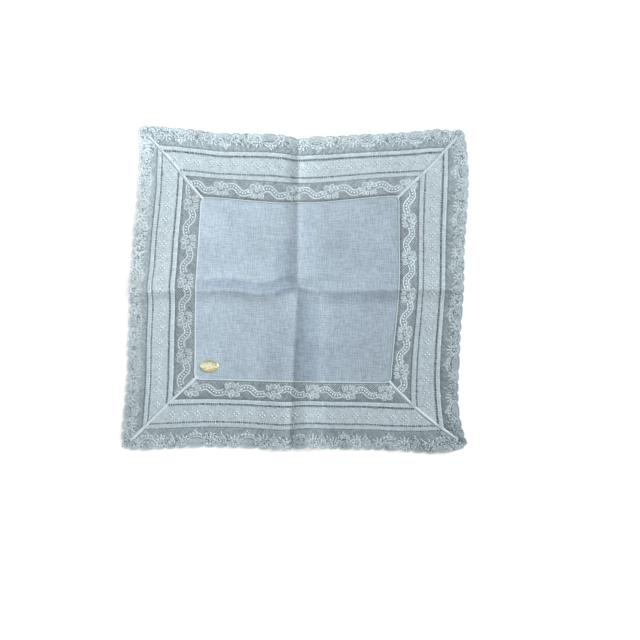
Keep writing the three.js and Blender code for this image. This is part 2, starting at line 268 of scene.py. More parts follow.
FAR = Side(
    "far", (0, 1), (1, 0), Worn(-1, 0, 30), Worn(-2, 1.6, 30), 15.5, 43.5, 5.5, 34.0,
    ((0, -118.5), (2, -95.5), (7, -38.5), (10, -3.9), (11, 6.3), (12, 15.0), (20, 103.4), (21, 114.6)),
    ((-152.5, 0), (-122, -0.6), (-95, 0.2), (-76, 1.1), (-56, -0.3), (-40, -1.6), (-26, -2.3), (-13, -1.7),
     (0, -0.1), (15, -0.4), (50, 0), (88, 1.2), (106, 0.4), (122, -0.5), (152.5, 0)),
    (0.6, 2.0, 12.0), ((2.8, 3.4, 0.16), (-4.5, 6.0, -0.20)), painted_side_shade=0.2,
)
EAST = Side(
    "east", (1, 0), (0, -1), Worn(-1, -2, 120), Worn(-2.5, 3, 84), 22.6, 44.2, 16.5, 34.6,
    ((0, -107.0), (3, -74.0), (6, -38.5), (9, -2.3), (10, 5.5), (18, 94.8), (19, 106.0)),
    ((-148, 0), (-120, -0.5), (-84, 0.8), (-45, 1.9), (-10, 1.5), (33, 1.1), (72, 0.2), (110, -0.2),
     (148, 0)),
    painted_side_shade=0.12,
)
NEAR = Side(
    "near", (0, -1), (-1, 0), Worn(0, -4, 60), Worn(-1.5, -0.5, 60), -2.9, 43.8, -3.0, 35.7,
    ((0, -115.0), (4, -69.9), (6, -44.2), (9, -8.1), (10, 2.0), (11, 10.4), (19, 97.1), (20, 108.0)),
    ((-152.5, 0), (-122, -0.5), (-97, 0.3), (-75, 1.7), (-35, 2.4), (-12, 2.6), (-3, 2.2), (9, 0.8),
     (45, 1.8), (80, 1.5), (104, 0.4), (125, -0.3), (152.5, 0)),
)
WEST = Side(
    "west", (-1, 0), (0, 1), Worn(-1.5, -1, 80), Worn(-1.5, 1, 54), 13.2, 42.5, -15.5, 36.0,
    ((0, -108.7), (4, -62.3), (7, -23.0), (9, -0.9), (13, 42.9), (18, 99.5), (19, 110.8)),
    ((-148, 0), (-122, -0.6), (-93, -0.9), (-54, -1.2), (-33, -0.5), (-14, 0.1), (-5, -0.3), (5, -1.3),
     (14, -0.6), (53, -0.3), (92, 1.2), (122, 1.6), (148, 0.9)),
    painted_side_shade=0.06,
)
SIDES = (FAR, EAST, NEAR, WEST)


@dataclass(frozen=True)
class Crease:
    """One ironed crease, from its start to its end.

    along_v says that it runs to the far side, and reach and rise are given for the low and the high
    side of its line.
    """

    fold: Fold
    along_v: bool
    start: float
    end: float
    reach: tuple[float, float]
    rise: tuple[float, float]


@dataclass(frozen=True)
class Lay:
    """How the cut cloth lies on the table: how far it strays from its cut shape, and its creases.

    right and far are strays in those directions, a row for each of rows and a value for each of
    columns. The creases are the level one, the upright one's far half, and its near half, whose
    line runs off to the right by near_slant at the near edge. The level one wanders from its
    straight line. Creases fade in over fade, and the border's waves die out inwards over wave_fade.
    """

    recentre: tuple[float, float] = (-1.8, -3.9)
    rows: tuple[float, ...] = (-CUT.depth / 2, CUT.panel_start - CUT.depth / 2, 0.0,
                               CUT.depth / 2 - CUT.panel_start, CUT.depth / 2)
    columns: tuple[float, ...] = (-CUT.width / 2, CUT.panel_start - CUT.width / 2, 0.0,
                                  CUT.width / 2 - CUT.panel_start, CUT.width / 2)
    right: Rows = (
        (-3.5, -5.2, 0.5, -6.3, 1.2),
        (0.4, -2.0, 0.3, -6.1, -5.4),
        (-0.6, -2.3, 0.4, 2.2, 1.6),
        (2.6, 1.1, 0.6, 3.8, 5.4),
        (1.7, 2.7, 1.3, 7.4, 3.7),
    )
    far: Rows = (
        (3.1, 3.6, 1.2, 1.2, 5.5),
        (2.8, 3.3, 1.0, 0.1, -0.8),
        (-2.8, -0.9, 0.0, 0.0, 0.9),
        (2.5, 0.6, -5.6, 1.6, 0.6),
        (8.3, 3.4, -3.4, 2.4, 5.3),
    )
    creases: tuple[Crease, ...] = (
        Crease(Fold.RIDGE, False, -CUT.width, CUT.width, (12.0, 34.0), (2.1, 2.1)),
        Crease(Fold.RIDGE, True, 0.0, CUT.depth, (14.0, 24.0), (2.4, 2.4)),
        Crease(Fold.TROUGH, True, -CUT.depth, 0.0, (30.0, 36.0), (0.7, 2.0)),
    )
    fade: float = 12.0
    wave_fade: float = 34.0
    near_slant: float = -6.5
    wander_at: tuple[float, ...] = (-152.5, -90, -55, -43, -32, -20, -12, 0, 8, 16, 39, 60, 152.5)
    wander: tuple[float, ...] = (-1, -1.4, -1.8, -3.6, -4.6, -3.2, -0.5, 1.8, -0.5, -2, -2.7, -1.8, -1.8)

    def shift(self, u: Array, v: Array, table: Rows) -> Array:
        """Stray at each place: the table's rows are read along u, and the results along v.

        Args:
            u: Places to the right.
            v: Places to the far side.
            table: Strays in one direction, a row for each of rows.

        Returns:
            The stray at each place.
        """
        columns = np.array(self.columns)
        on_rows = np.stack([curve_through(columns, np.array(row), u) for row in table])
        return curve_through(np.array(self.rows), on_rows, v)

    def wandering(self, u: Array) -> Array:
        """How far to the far side the level crease strays at each place along it."""
        return curve_through(np.array(self.wander_at, float), np.array(self.wander, float), u)

    def lift(self, u: Array, v: Array) -> Array:
        """Height of the cloth's underside over the table: the sum of its creases.

        A ridge is (1 - q)^2 and a trough 27/4 q (1 - q)^2 of its rise, with q the share of its
        reach from the crease's line, and both fade in over a short way at the crease's ends.

        Args:
            u: Places to the right.
            v: Places to the far side.

        Returns:
            The height at each place.
        """
        wander = self.wandering(u)
        slant = self.near_slant * np.clip(-v / CUT.depth * 2, 0, 1)
        total = np.zeros_like(u)
        for crease in self.creases:
            across, along = (u - slant, v) if crease.along_v else (v - wander, u)
            reach = np.where(across < 0, *crease.reach)
            rise = np.where(across < 0, *crease.rise)
            q = np.clip(np.abs(across) / reach, 0, 1)
            profile = (1 - q) ** 2 if crease.fold is Fold.RIDGE else third_bump(q)
            within = np.minimum(along - crease.start, crease.end - along)
            total += rise * profile * smooth_step(within / self.fade)
        return total

    def place(self, cut: Array) -> Array:
        """Places of the lying cloth: the cut place, its stray, and the waves and kinks of all sides.

        Args:
            cut: Points (u, v, w) on the cut cloth.

        Returns:
            The same points in metres, in the frame.
        """
        u, v, w = cut[:, 0], cut[:, 1], cut[:, 2]
        x = u + self.shift(u, v, self.right) + self.recentre[0]
        y = v + self.shift(u, v, self.far) + self.recentre[1]
        for side in SIDES:
            inset = side.half - u * side.faces[0] - v * side.faces[1]
            along = u * side.runs[0] + v * side.runs[1]
            inwards = smooth_step((CUT.panel_start - inset) / self.wave_fade) * side.wave(along)
            inwards = inwards + side.kinked(along, inset)
            x -= inwards * side.faces[0]
            y -= inwards * side.faces[1]
        return np.stack([x, y, self.lift(u, v) + w], 1) * MM


LAY = Lay()


@dataclass
class Shell:
    """Closed surfaces: points, their faces of four and of three corners, and a tone a point."""

    points: Array
    quads: NDArray[np.int64]
    triangles: NDArray[np.int64]
    tone: Array

    @classmethod
    def joined(cls, shells: list["Shell"]) -> "Shell":
        """Puts shells together.

        Args:
            shells: The shells.

        Returns:
            One shell that holds them all, in their order.
        """
        starts = np.cumsum([0] + [len(s.points) for s in shells[:-1]])
        return cls(
            np.concatenate([s.points for s in shells]),
            np.concatenate([s.quads + k for s, k in zip(shells, starts)]),
            np.concatenate([s.triangles + k for s, k in zip(shells, starts)]),
            np.concatenate([s.tone for s in shells]),
        )

    def along(self, side: Side) -> "Shell":
        """A shell of (s, d, w) on the cut cloth, with its ends trimmed at the mitres.

        Args:
            side: The side that it lies along.

        Returns:
            The shell in (u, v, w), turned over because d runs against the facing direction.
        """
        s, d, w = self.points.T
        s = np.clip(s, -side.limit(d), side.limit(d))
        out = side.half - d
        u = out * side.faces[0] + s * side.runs[0]
        v = out * side.faces[1] + s * side.runs[1]
        return Shell(np.stack([u, v, w], 1), self.quads[:, ::-1], self.triangles[:, ::-1], self.tone)


def sweep(paths: Array, section: Array, tone: Array | float, closed: bool = False) -> Shell:
    """Carries a section along paths.

    Each point is path + across * left + up * top, where across and up are the section's, left is
    the path's tangent turned a quarter turn in the cloth and top stands up from the cloth.

    Args:
        paths: Paths of the same number of points, as (path, point, 3).
        section: Section points (across, up) in turning order, or one such list for each point of
            each path.
        tone: Tone of the whole piece, or one for each point of each path.
        closed: Whether the last point of a path joins its first.

    Returns:
        The swept shell, with its ends closed unless the paths are.
    """
    count, length = paths.shape[:2]
    section = np.broadcast_to(section, (count, length) + section.shape[-2:])
    sides = section.shape[2]
    if closed:
        tangent = np.roll(paths, -1, 1) - np.roll(paths, 1, 1)
    else:
        tangent = np.gradient(paths, axis=1)
    left = np.stack([-tangent[..., 1], tangent[..., 0]], -1)
    left /= np.maximum(np.linalg.norm(left, axis=-1, keepdims=True), 1e-9)
    points = np.repeat(paths[:, :, None, :], sides, 2)
    points[..., :2] += section[..., :1] * left[:, :, None, :]
    points[..., 2] += section[..., 1]
    rings = length if closed else length - 1
    path, ring, side = np.meshgrid(np.arange(count), np.arange(rings), np.arange(sides), indexing="ij")
    after, beside = (ring + 1) % length, (side + 1) % sides
    start = path * length * sides
    corners = [(ring, side), (ring, beside), (after, beside), (after, side)]
    quads = np.stack([start + r * sides + s for r, s in corners], -1).reshape(-1, 4)
    caps = np.zeros((0, 3), np.int64)
    if not closed:
        fan = np.arange(1, sides - 1)
        first = np.stack([np.zeros_like(fan), fan + 1, fan], 1)
        last = first[:, ::-1] + (length - 1) * sides
        both = np.concatenate([first, last])
        caps = (both[None] + (np.arange(count) * length * sides)[:, None, None]).reshape(-1, 3)
    tones = np.repeat(np.broadcast_to(tone, (count, length)).ravel(), sides)
    return Shell(points.reshape(-1, 3), quads, caps, tones)


def round_section(radius: float, sides: int) -> Array:
    """A regular section (radius cos a, radius sin a) with that many sides."""
    angle = 2 * math.pi * (np.arange(sides) + 0.5) / sides
    return radius * np.stack([np.cos(angle), np.sin(angle)], 1)


def flat_section(half_width: float, height: float) -> Array:
    """A low section: level below, with two raised shoulders at 0.55 of its half width."""
    shoulder = half_width * 0.55
    return np.array([(half_width, 0.0), (shoulder, height), (-shoulder, height), (-half_width, 0.0)])


def smoothed(knots: Knots | Array, step: float) -> Array:
    """A line through places, smoothed: curve_through of each coordinate over the straight length.

    Args:
        knots: Places that the line goes through.
        step: Distance of its points, which is met as near as may be.

    Returns:
        The line's points.
    """
    places = np.array(knots, float)
    length = np.concatenate([[0], np.cumsum(np.linalg.norm(np.diff(places, axis=0), axis=1))])
    at = np.linspace(0, length[-1], max(2, round(length[-1] / step) + 1))
    return np.stack([curve_through(length, places[:, k], at) for k in (0, 1)], 1)


def beside(line: Array, offset: float) -> Array:
    """A line moved sideways, square to its own tangent.

    Args:
        line: Points (x, y) of the line.
        offset: How far it is moved, to the left of its direction.

    Returns:
        The moved line's points.
    """
    tangent = np.gradient(line, axis=0)
    left = np.stack([-tangent[:, 1], tangent[:, 0]], 1)
    left /= np.linalg.norm(left, axis=1, keepdims=True)
    return line + offset * left


def dome_faces(sides: int, rings: int) -> tuple[NDArray[np.int64], NDArray[np.int64]]:
    """Faces of a dome whose points are rings from its foot upwards, its top and its foot's middle.

    Args:
        sides: Points of each ring.
        rings: How many rings there are.

    Returns:
        Faces of four corners between the rings, and faces of three at the top and under the foot.
    """
    k = np.arange(sides)
    after = (k + 1) % sides
    walls = [np.stack([r * sides + k, r * sides + after, (r + 1) * sides + after, (r + 1) * sides + k], 1)
             for r in range(rings - 1)]
    last = rings * sides
    top = np.stack([last - sides + k, last - sides + after, np.full(sides, last)], 1)
    bottom = np.stack([after, k, np.full(sides, last + 1)], 1)
    return np.concatenate(walls), np.concatenate([top, bottom])


def patches(centres: Array, halves: Array, angles: Array, form: Form, tone: Array | float,
            base: float, height: float, corners: int = 10) -> Shell:
    """Raised worked patches, one at each centre.

    The outline is (a cos t, b sin t), with b sin t times |sin t|^0.7 for a leaf, which draws it to
    points at both ends. It is carried up from the base as three rings, of 1, 0.97 and 0.6 of its
    size at 0, 0.55 and 0.92 of the height, to a middle point.

    Args:
        centres: Middles of the patches, (x, y).
        halves: Half length and half width of each.
        angles: Turn of each, in radians.
        form: Outline.
        tone: Tone of the patches, or one for each.
        base: Height of their flat undersides.
        height: How far they rise over that.
        corners: Corners of the outline.

    Returns:
        The patches as one shell.
    """
    count = len(centres)
    t = 2 * math.pi * np.arange(corners) / corners
    narrow = np.abs(np.sin(t)) ** 0.7 if form is Form.LEAF else np.ones(corners)
    x = halves[:, :1] * np.cos(t)
    y = halves[:, 1:] * np.sin(t) * narrow
    cos, sin = np.cos(angles)[:, None], np.sin(angles)[:, None]
    outline = np.stack([x * cos - y * sin, x * sin + y * cos], -1)
    levels = [(1.0, 0.0), (0.97, 0.55 * height), (0.6, 0.92 * height)]
    rings = [np.concatenate([centres[:, None] + outline * grow,
                             np.full((count, corners, 1), base + rise)], -1) for grow, rise in levels]
    middles = [np.concatenate([centres, np.full((count, 1), base + rise)], 1)[:, None]
               for rise in (height, 0.0)]
    points = np.concatenate(rings + middles, 1)
    each = points.shape[1]
    walls, caps = dome_faces(corners, len(rings))
    start = (np.arange(count) * each)[:, None, None]
    quads = (walls[None] + start).reshape(-1, 4)
    triangles = (caps[None] + start).reshape(-1, 3)
    return Shell(points.reshape(-1, 3), quads, triangles, np.repeat(np.broadcast_to(tone, count), each))


def slab(across: Array, along: Array, top: Array, bottom: Array, tone: Array) -> Shell:
    """A thin sheet on a grid, closed round its edges: its upper face, its lower face and a rim.

    Args:
        across: First coordinate at each grid point, (rows, columns).
        along: Second coordinate at each grid point.
        top: Height of the upper face.
        bottom: Height of the lower face.
        tone: Tone at each grid point.

    Returns:
        The sheet as one shell.
    """
    rows, columns = across.shape
    count = rows * columns
    upper = np.stack([across, along, top], -1).reshape(-1, 3)
    lower = np.stack([across, along, bottom], -1).reshape(-1, 3)
    index = np.arange(count).reshape(rows, columns)
    a, b = index[:-1, :-1].ravel(), index[:-1, 1:].ravel()
    c, d = index[1:, 1:].ravel(), index[1:, :-1].ravel()
    faces = np.stack([a, b, c, d], 1)
    rim = np.concatenate([index[0, :-1], index[:-1, -1], index[-1, :0:-1], index[:0:-1, 0]])
    after = np.roll(rim, -1)
    walls = np.stack([rim, rim + count, after + count, after], 1)[:, ::-1]
    quads = np.concatenate([faces, faces[:, ::-1] + count, walls])
    none = np.zeros((0, 3), np.int64)
    return Shell(np.concatenate([upper, lower]), quads, none, np.tile(tone.ravel(), 2))


def piece_from(name: str, shell: Shell, material: bpy.types.Material) -> bpy.types.Object:
    """Lays a shell of cut coordinates on the table as a piece.

    Args:
        name: Name of the piece.
        shell: Its shell, in cut coordinates, with its faces outwards.
        material: Its finish.

    Returns:
        The piece, riding on the cloth's body, with the cut place as its UV map and its tone.
    """
    points = LAY.place(shell.points)
    mesh = bpy.data.meshes.new(name)
    mesh.vertices.add(len(points))
    mesh.vertices.foreach_set("co", points.astype(np.float32).ravel())
    corners = np.concatenate([shell.quads.ravel(), shell.triangles.ravel()])
    sizes = np.concatenate([np.full(len(shell.quads), 4), np.full(len(shell.triangles), 3)])
    mesh.loops.add(len(corners))
    mesh.loops.foreach_set("vertex_index", corners.astype(np.int32))
    mesh.polygons.add(len(sizes))
    mesh.polygons.foreach_set("loop_start", (np.cumsum(sizes) - sizes).astype(np.int32))
    mesh.update(calc_edges=True)
    mesh.polygons.foreach_set("use_smooth", np.ones(len(sizes), bool))
    cut_place = shell.points[:, :2] / (CUT.width, CUT.depth) + 0.5
    cut_map = mesh.uv_layers.new(name="cut")
    cut_map.data.foreach_set("uv", cut_place[corners].astype(np.float32).ravel())
    tone = mesh.attributes.new("tone", "FLOAT", "POINT")
    tone.data.foreach_set("value", shell.tone.astype(np.float32))
    mesh.materials.append(material)
    mesh.validate()
    piece = bpy.data.objects.new(name, mesh)
    bpy.context.scene.collection.objects.link(piece)
    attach(piece, BODY)
    LOG.info("%s: %d faces", name, len(sizes))
    return piece


def declare_strip(side: Side, cloth: bpy.types.Object, work: bpy.types.Object, solid: str, slot: str,
                  start: float, end: float) -> None:
    """Hides the solid that a strip's cloth and its worked threads replace.

    Args:
        side: The side that it lies along.
        cloth: The strip's cloth. Not used.
        work: The threads on it. Not used.
        solid: Name of the solid that it replaces, without the side's name.
        slot: Material slot of both. Not used.
        start: How far in its outer edge is. Not used.
        end: How far in its inner edge is. Not used.
    """
    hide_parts(f"{solid}_{side.name}")


class Graph:
    """Shader nodes of one material or node group, added and joined up by short calls."""

    def __init__(self, tree: bpy.types.NodeTree) -> None:
        """Starts on an empty node tree."""
        self.tree = tree
        tree.nodes.clear()

    def add(self, kind: str, *inputs: object, **settings: object) -> bpy.types.Node:
        """Adds a node, sets its options, and feeds its inputs in order.

        Args:
            kind: Node type.
            inputs: A value or an output for each input, or None to leave it.
            settings: Options of the node.

        Returns:
            The node.
        """
        node = self.tree.nodes.new(kind)
        for name, value in settings.items():
            setattr(node, name, value)
        for socket, value in zip(node.inputs, inputs):
            self.feed(socket, value)
        return node

    def feed(self, socket: bpy.types.NodeSocket, value: object) -> None:
        """Links an output to a socket, or sets the socket's value.

        Args:
            socket: The socket.
            value: An output, a value, or None to leave it.
        """
        if isinstance(value, bpy.types.NodeSocket):
            self.tree.links.new(value, socket)
        elif value is not None:
            socket.default_value = value

    def math(self, operation: str, *inputs: object, clamp: bool = False) -> bpy.types.NodeSocket:
        """Result of a Math node."""
        return self.add("ShaderNodeMath", *inputs, operation=operation, use_clamp=clamp).outputs[0]

    def ramp(self, value: object, low: float, high: float, to_low: float = 0.0,
             to_high: float = 1.0) -> bpy.types.NodeSocket:
        """The value carried from low..high to to_low..to_high, and held there outside."""
        node = self.add("ShaderNodeMapRange", value, low, high, to_low, to_high, clamp=True)
        return node.outputs[0]

    def blend(self, factor: object, first: object, second: object,
              mode: str = "MIX") -> bpy.types.NodeSocket:
        """Mixes two colours.

        Args:
            factor: Share of the second.
            first: One colour.
            second: The other colour.
            mode: How they are mixed.

        Returns:
            The mixed colour's output.
        """
        node = self.add("ShaderNodeMix", data_type="RGBA", blend_type=mode)
        self.feed(node.inputs[0], factor)
        self.feed(node.inputs[6], first)
        self.feed(node.inputs[7], second)
        return node.outputs[2]

    def scaled(self, place: object, scale: Point, offset: Point = (0.0, 0.0, 0.0)) -> bpy.types.NodeSocket:
        """The place times a scale, plus an offset."""
        node = self.add("ShaderNodeMapping", place, offset, None, scale)
        return node.outputs[0]

    def noise(self, place: object, scale: float, detail: float = 2.0) -> bpy.types.NodeSocket:
        """Value of a noise texture."""
        return self.add("ShaderNodeTexNoise", place, None, scale, detail).outputs[0]


class WeaveGroup:
    """Node group of a plain weave: threads going over and under, and the slubs in them."""

    NAME = "Plain weave"
    SHARPNESS = 2.5
    SEEDS = (3.7, 11.3)
    SLUB_RANGE = (0.32, 0.68)
    CLOUD = 0.03
    CLOUD_RANGE = (0.3, 0.7)

    def build(self) -> bpy.types.NodeTree:
        """Makes the group, or finds it.

        Over and under is the sign of sin x sin y, softened, and each thread's round back is |sin x|
        or |sin y|. Slubs are noise drawn out along one thread direction and then the other, and
        clouds are a wide noise.

        Returns:
            The group, from a place in millimetres and a thread pitch to heights and tones.
        """
        found = bpy.data.node_groups.get(self.NAME)
        if found:
            return found
        tree = bpy.data.node_groups.new(self.NAME, "ShaderNodeTree")
        tree.interface.new_socket("Place", in_out="INPUT", socket_type="NodeSocketVector")
        for name, value in (("Pitch", 0.5), ("Slub width", 1.0), ("Slub length", 18.0)):
            socket = tree.interface.new_socket(name, in_out="INPUT", socket_type="NodeSocketFloat")
            socket.default_value = value
        for name in ("Height", "Slub", "Cloud"):
            tree.interface.new_socket(name, in_out="OUTPUT", socket_type="NodeSocketFloat")
        g = Graph(tree)
        given = g.add("NodeGroupInput").outputs
        place, pitch, width, length = given[0], given[1], given[2], given[3]
        split = g.add("ShaderNodeSeparateXYZ", place).outputs
        turns = [g.math("MULTIPLY", g.math("DIVIDE", split[k], pitch), math.pi) for k in (0, 1)]
        waves = [g.math("SINE", turn) for turn in turns]
        over = g.math("MULTIPLY_ADD", g.math("MULTIPLY", *waves), self.SHARPNESS, 0.5, clamp=True)
        backs = [g.math("ABSOLUTE", wave) for wave in waves]
        mixed = g.add("ShaderNodeMix", over, None, backs[0], backs[1], data_type="FLOAT")
        slubs = []
        for k, seed in enumerate(self.SEEDS):
            fine = g.math("DIVIDE", split[k], width)
            drawn = g.math("DIVIDE", split[1 - k], length)
            spot = g.add("ShaderNodeCombineXYZ", fine, drawn, seed).outputs[0]
            slubs.append(g.ramp(g.noise(spot, 1.0, 1.5), *self.SLUB_RANGE, -1.0, 1.0))
        slub = g.math("MULTIPLY", g.math("ADD", *slubs), 0.5)
        wide = g.scaled(place, (self.CLOUD, self.CLOUD, self.CLOUD))
        cloud = g.ramp(g.noise(wide, 1.0, 3.0), *self.CLOUD_RANGE, -1.0, 1.0)
        g.add("NodeGroupOutput", mixed.outputs[0], slub, cloud)
        return tree


class PaintedFalloffGroup:
    """Node group of painted light falloff: a slow change of tone from the cloth's far left to its near right.
    """

    NAME = "Painted light falloff"

    def build(self) -> bpy.types.NodeTree:
        """Makes the group, or finds it.

        The factor is 1 + right x / half width + far y / half depth.

        Returns:
            The group, from a place in millimetres to a factor near 1.
        """
        found = bpy.data.node_groups.get(self.NAME)
        if found:
            return found
        tree = bpy.data.node_groups.new(self.NAME, "ShaderNodeTree")
        tree.interface.new_socket("Place", in_out="INPUT", socket_type="NodeSocketVector")
        for name, value in (("Right", -0.05), ("Far", 0.05)):
            socket = tree.interface.new_socket(name, in_out="INPUT", socket_type="NodeSocketFloat")
            socket.default_value = value
        tree.interface.new_socket("Factor", in_out="OUTPUT", socket_type="NodeSocketFloat")
        g = Graph(tree)
        given = g.add("NodeGroupInput").outputs
        split = g.add("ShaderNodeSeparateXYZ", given[0]).outputs
        right = g.math("MULTIPLY", g.math("DIVIDE", split[0], CUT.width / 2), given[1])
        far = g.math("MULTIPLY", g.math("DIVIDE", split[1], CUT.depth / 2), given[2])
        g.add("NodeGroupOutput", g.math("ADD", g.math("ADD", right, far), 1.0))
        return tree


@dataclass(frozen=True)
class ClothFinish:
    """A woven cloth or a worked thread.

    low and high are its colours at tone 0 and tone 1, and the pitch is that of its threads in
    millimetres. A tone below 0 is in shadow: it darkens the low colour by shadow times its size,
    and shadow_tint is the power of that darkening in red, green and blue. fade is painted light
    falloff: the shares by which the colour grows lighter towards the right and towards the far side.
    """

    name: str
    low: Colour
    high: Colour
    pitch: float = 0.45
    slub: float = 0.05
    slub_width: float = 1.1
    slub_length: float = 16.0
    cloud: float = 0.03
    relief: float = 0.25
    slub_relief: float = 0.3
    bump: float = 0.1
    roughness: float = 0.85
    sheen: float = 0.15
    sheen_roughness: float = 0.6
    specular: float = 0.2
    fade: tuple[float, float] = (-0.04, 0.04)
    shadow: float = 0.7
    shadow_tint: tuple[float, float, float] = (1.15, 1.0, 0.8)

    def material(self) -> bpy.types.Material:
        """Makes the material, or finds it.

        Colour is the mix of low and high by tone, times the painted light falloff, the slubs and the clouds.
        Relief is the weave's height and the slubs' together.

        Returns:
            The material, which reads the cut place from the piece's UV map.
        """
        found = bpy.data.materials.get(self.name)
        if found:
            return found
        material = bpy.data.materials.new(self.name)
        material.use_nodes = True
        g = Graph(material.node_tree)
        uv = g.add("ShaderNodeUVMap", uv_map="cut").outputs[0]
        place = g.scaled(uv, (CUT.width, CUT.depth, 1.0), (-CUT.width / 2, -CUT.depth / 2, 0.0))
        weave = g.add("ShaderNodeGroup", node_tree=WeaveGroup().build())
        for socket, value in zip(weave.inputs, (place, self.pitch, self.slub_width, self.slub_length)):
            g.feed(socket, value)
        height, slub, cloud = weave.outputs
        # Painted light falloff across the cloth.
        fade = g.add("ShaderNodeGroup", node_tree=PaintedFalloffGroup().build())
        for socket, value in zip(fade.inputs, (place, *self.fade)):
            g.feed(socket, value)
        tone = g.add("ShaderNodeAttribute", attribute_name="tone").outputs[2]
        colour = g.blend(g.math("MAXIMUM", tone, 0.0), (*self.low, 1.0), (*self.high, 1.0))
        shaded = g.math("MULTIPLY_ADD", g.math("MINIMUM", tone, 0.0), self.shadow, 1.0)
        lighter = g.math("MULTIPLY_ADD", slub, self.slub, 1.0)
        clouded = g.math("MULTIPLY_ADD", cloud, self.cloud, lighter)
        plain = g.math("MULTIPLY", clouded, fade.outputs[0])
        tinted = [g.math("MULTIPLY", plain, g.math("POWER", shaded, power)) for power in self.shadow_tint]
        shade = g.add("ShaderNodeCombineXYZ", *tinted).outputs[0]
        colour = g.blend(1.0, colour, shade, "MULTIPLY")
        raised = g.math("MULTIPLY_ADD", slub, self.slub_relief, g.math("MULTIPLY", height, self.relief))
        bump = g.add("ShaderNodeBump", 1.0, self.bump * MM, None, raised)
        shader = g.add("ShaderNodeBsdfPrincipled")
        shader.inputs["Roughness"].default_value = self.roughness
        shader.inputs["Sheen Weight"].default_value = self.sheen
        shader.inputs["Sheen Roughness"].default_value = self.sheen_roughness
        shader.inputs["Specular IOR Level"].default_value = self.specular
        g.feed(shader.inputs["Base Color"], colour)
        g.feed(shader.inputs["Normal"], bump.outputs[0])
        g.add("ShaderNodeOutputMaterial", shader.outputs[0])
        return material


@dataclass(frozen=True)
class FoilFinish:
    """Pale gold foil with a faint press grain, a little worn.

    Wear and painted shade are the noise at wear_scale less the tone, whose low values are painted
    shade, carried from wear_range to 0..1, and the roughness goes from its first to its second value
    with it.
    """

    name: str = "gold_foil"
    bright: Colour = (0.98, 0.97, 0.68)
    dull: Colour = (0.39, 0.37, 0.18)
    wear_scale: float = 700.0
    wear_range: tuple[float, float] = (-0.52, -0.22)
    grain_scale: float = 2600.0
    grain: float = 0.05
    metallic: float = 0.55
    roughness: tuple[float, float] = (0.32, 0.5)

    def material(self) -> bpy.types.Material:
        """Makes the material.

        Dull patches are noise, for wear, and more of them where the tone is low, as painted shade; the
        grain is a finer noise as relief.

        Returns:
            The material, in Object coordinates.
        """
        material = bpy.data.materials.new(self.name)
        material.use_nodes = True
        g = Graph(material.node_tree)
        place = g.add("ShaderNodeTexCoord").outputs["Object"]
        tone = g.add("ShaderNodeAttribute", attribute_name="tone").outputs[2]
        # Wear and painted shade: a low tone makes the foil darker.
        worn = g.ramp(g.math("SUBTRACT", g.noise(place, self.wear_scale, 3.0), tone), *self.wear_range)
        colour = g.blend(worn, (*self.bright, 1.0), (*self.dull, 1.0))
        grain = g.noise(place, self.grain_scale, 2.0)
        bump = g.add("ShaderNodeBump", 0.5, self.grain * MM, None, grain)
        shader = g.add("ShaderNodeBsdfPrincipled")
        shader.inputs["Metallic"].default_value = self.metallic
        g.feed(shader.inputs["Base Color"], colour)
        g.feed(shader.inputs["Roughness"], g.ramp(worn, 0.0, 1.0, *self.roughness))
        g.feed(shader.inputs["Normal"], bump.outputs[0])
        g.add("ShaderNodeOutputMaterial", shader.outputs[0])
        return material


LINEN = ClothFinish("woven_linen", (0.318, 0.392, 0.458), (0.43, 0.52, 0.575), pitch=0.5, slub=0.23,
                    slub_width=0.8, slub_length=7.0, cloud=0.08, slub_relief=0.9, fade=(-0.19, 0.13))
# The lawn's low colour is painted shade, for the ladders' wells and the lozenges' eyes.
LAWN = ClothFinish("sheer_lawn", (0.15, 0.185, 0.20), (0.412, 0.494, 0.532), pitch=0.36, slub=0.25,
                   slub_width=0.9, slub_length=4.0, cloud=0.03, slub_relief=0.3, fade=(-0.04, 0.10))
# The laces' low colours are painted shade: the felts under their nets lie near them, and their openings below
# them.
EDGING_LACE = ClothFinish("edging_cotton", (0.322, 0.398, 0.432), (0.55, 0.635, 0.655), pitch=0.42,
                          slub=0.16, slub_width=0.9, slub_length=1.7, cloud=0.05, relief=0.6,
                          fade=(-0.05, 0.22))
INNER_LACE = ClothFinish("insertion_cotton", (0.180, 0.225, 0.259), (0.73, 0.845, 0.875), pitch=0.42,
                         slub=0.16, slub_width=0.9, slub_length=1.7, cloud=0.05, relief=0.6,
                         fade=(0.05, 0.13))
STITCH = ClothFinish("whipping_thread", (0.36, 0.43, 0.46), (0.54, 0.62, 0.645), pitch=0.5, slub=0.06,
                     slub_width=0.6, slub_length=3.0, relief=0.4)


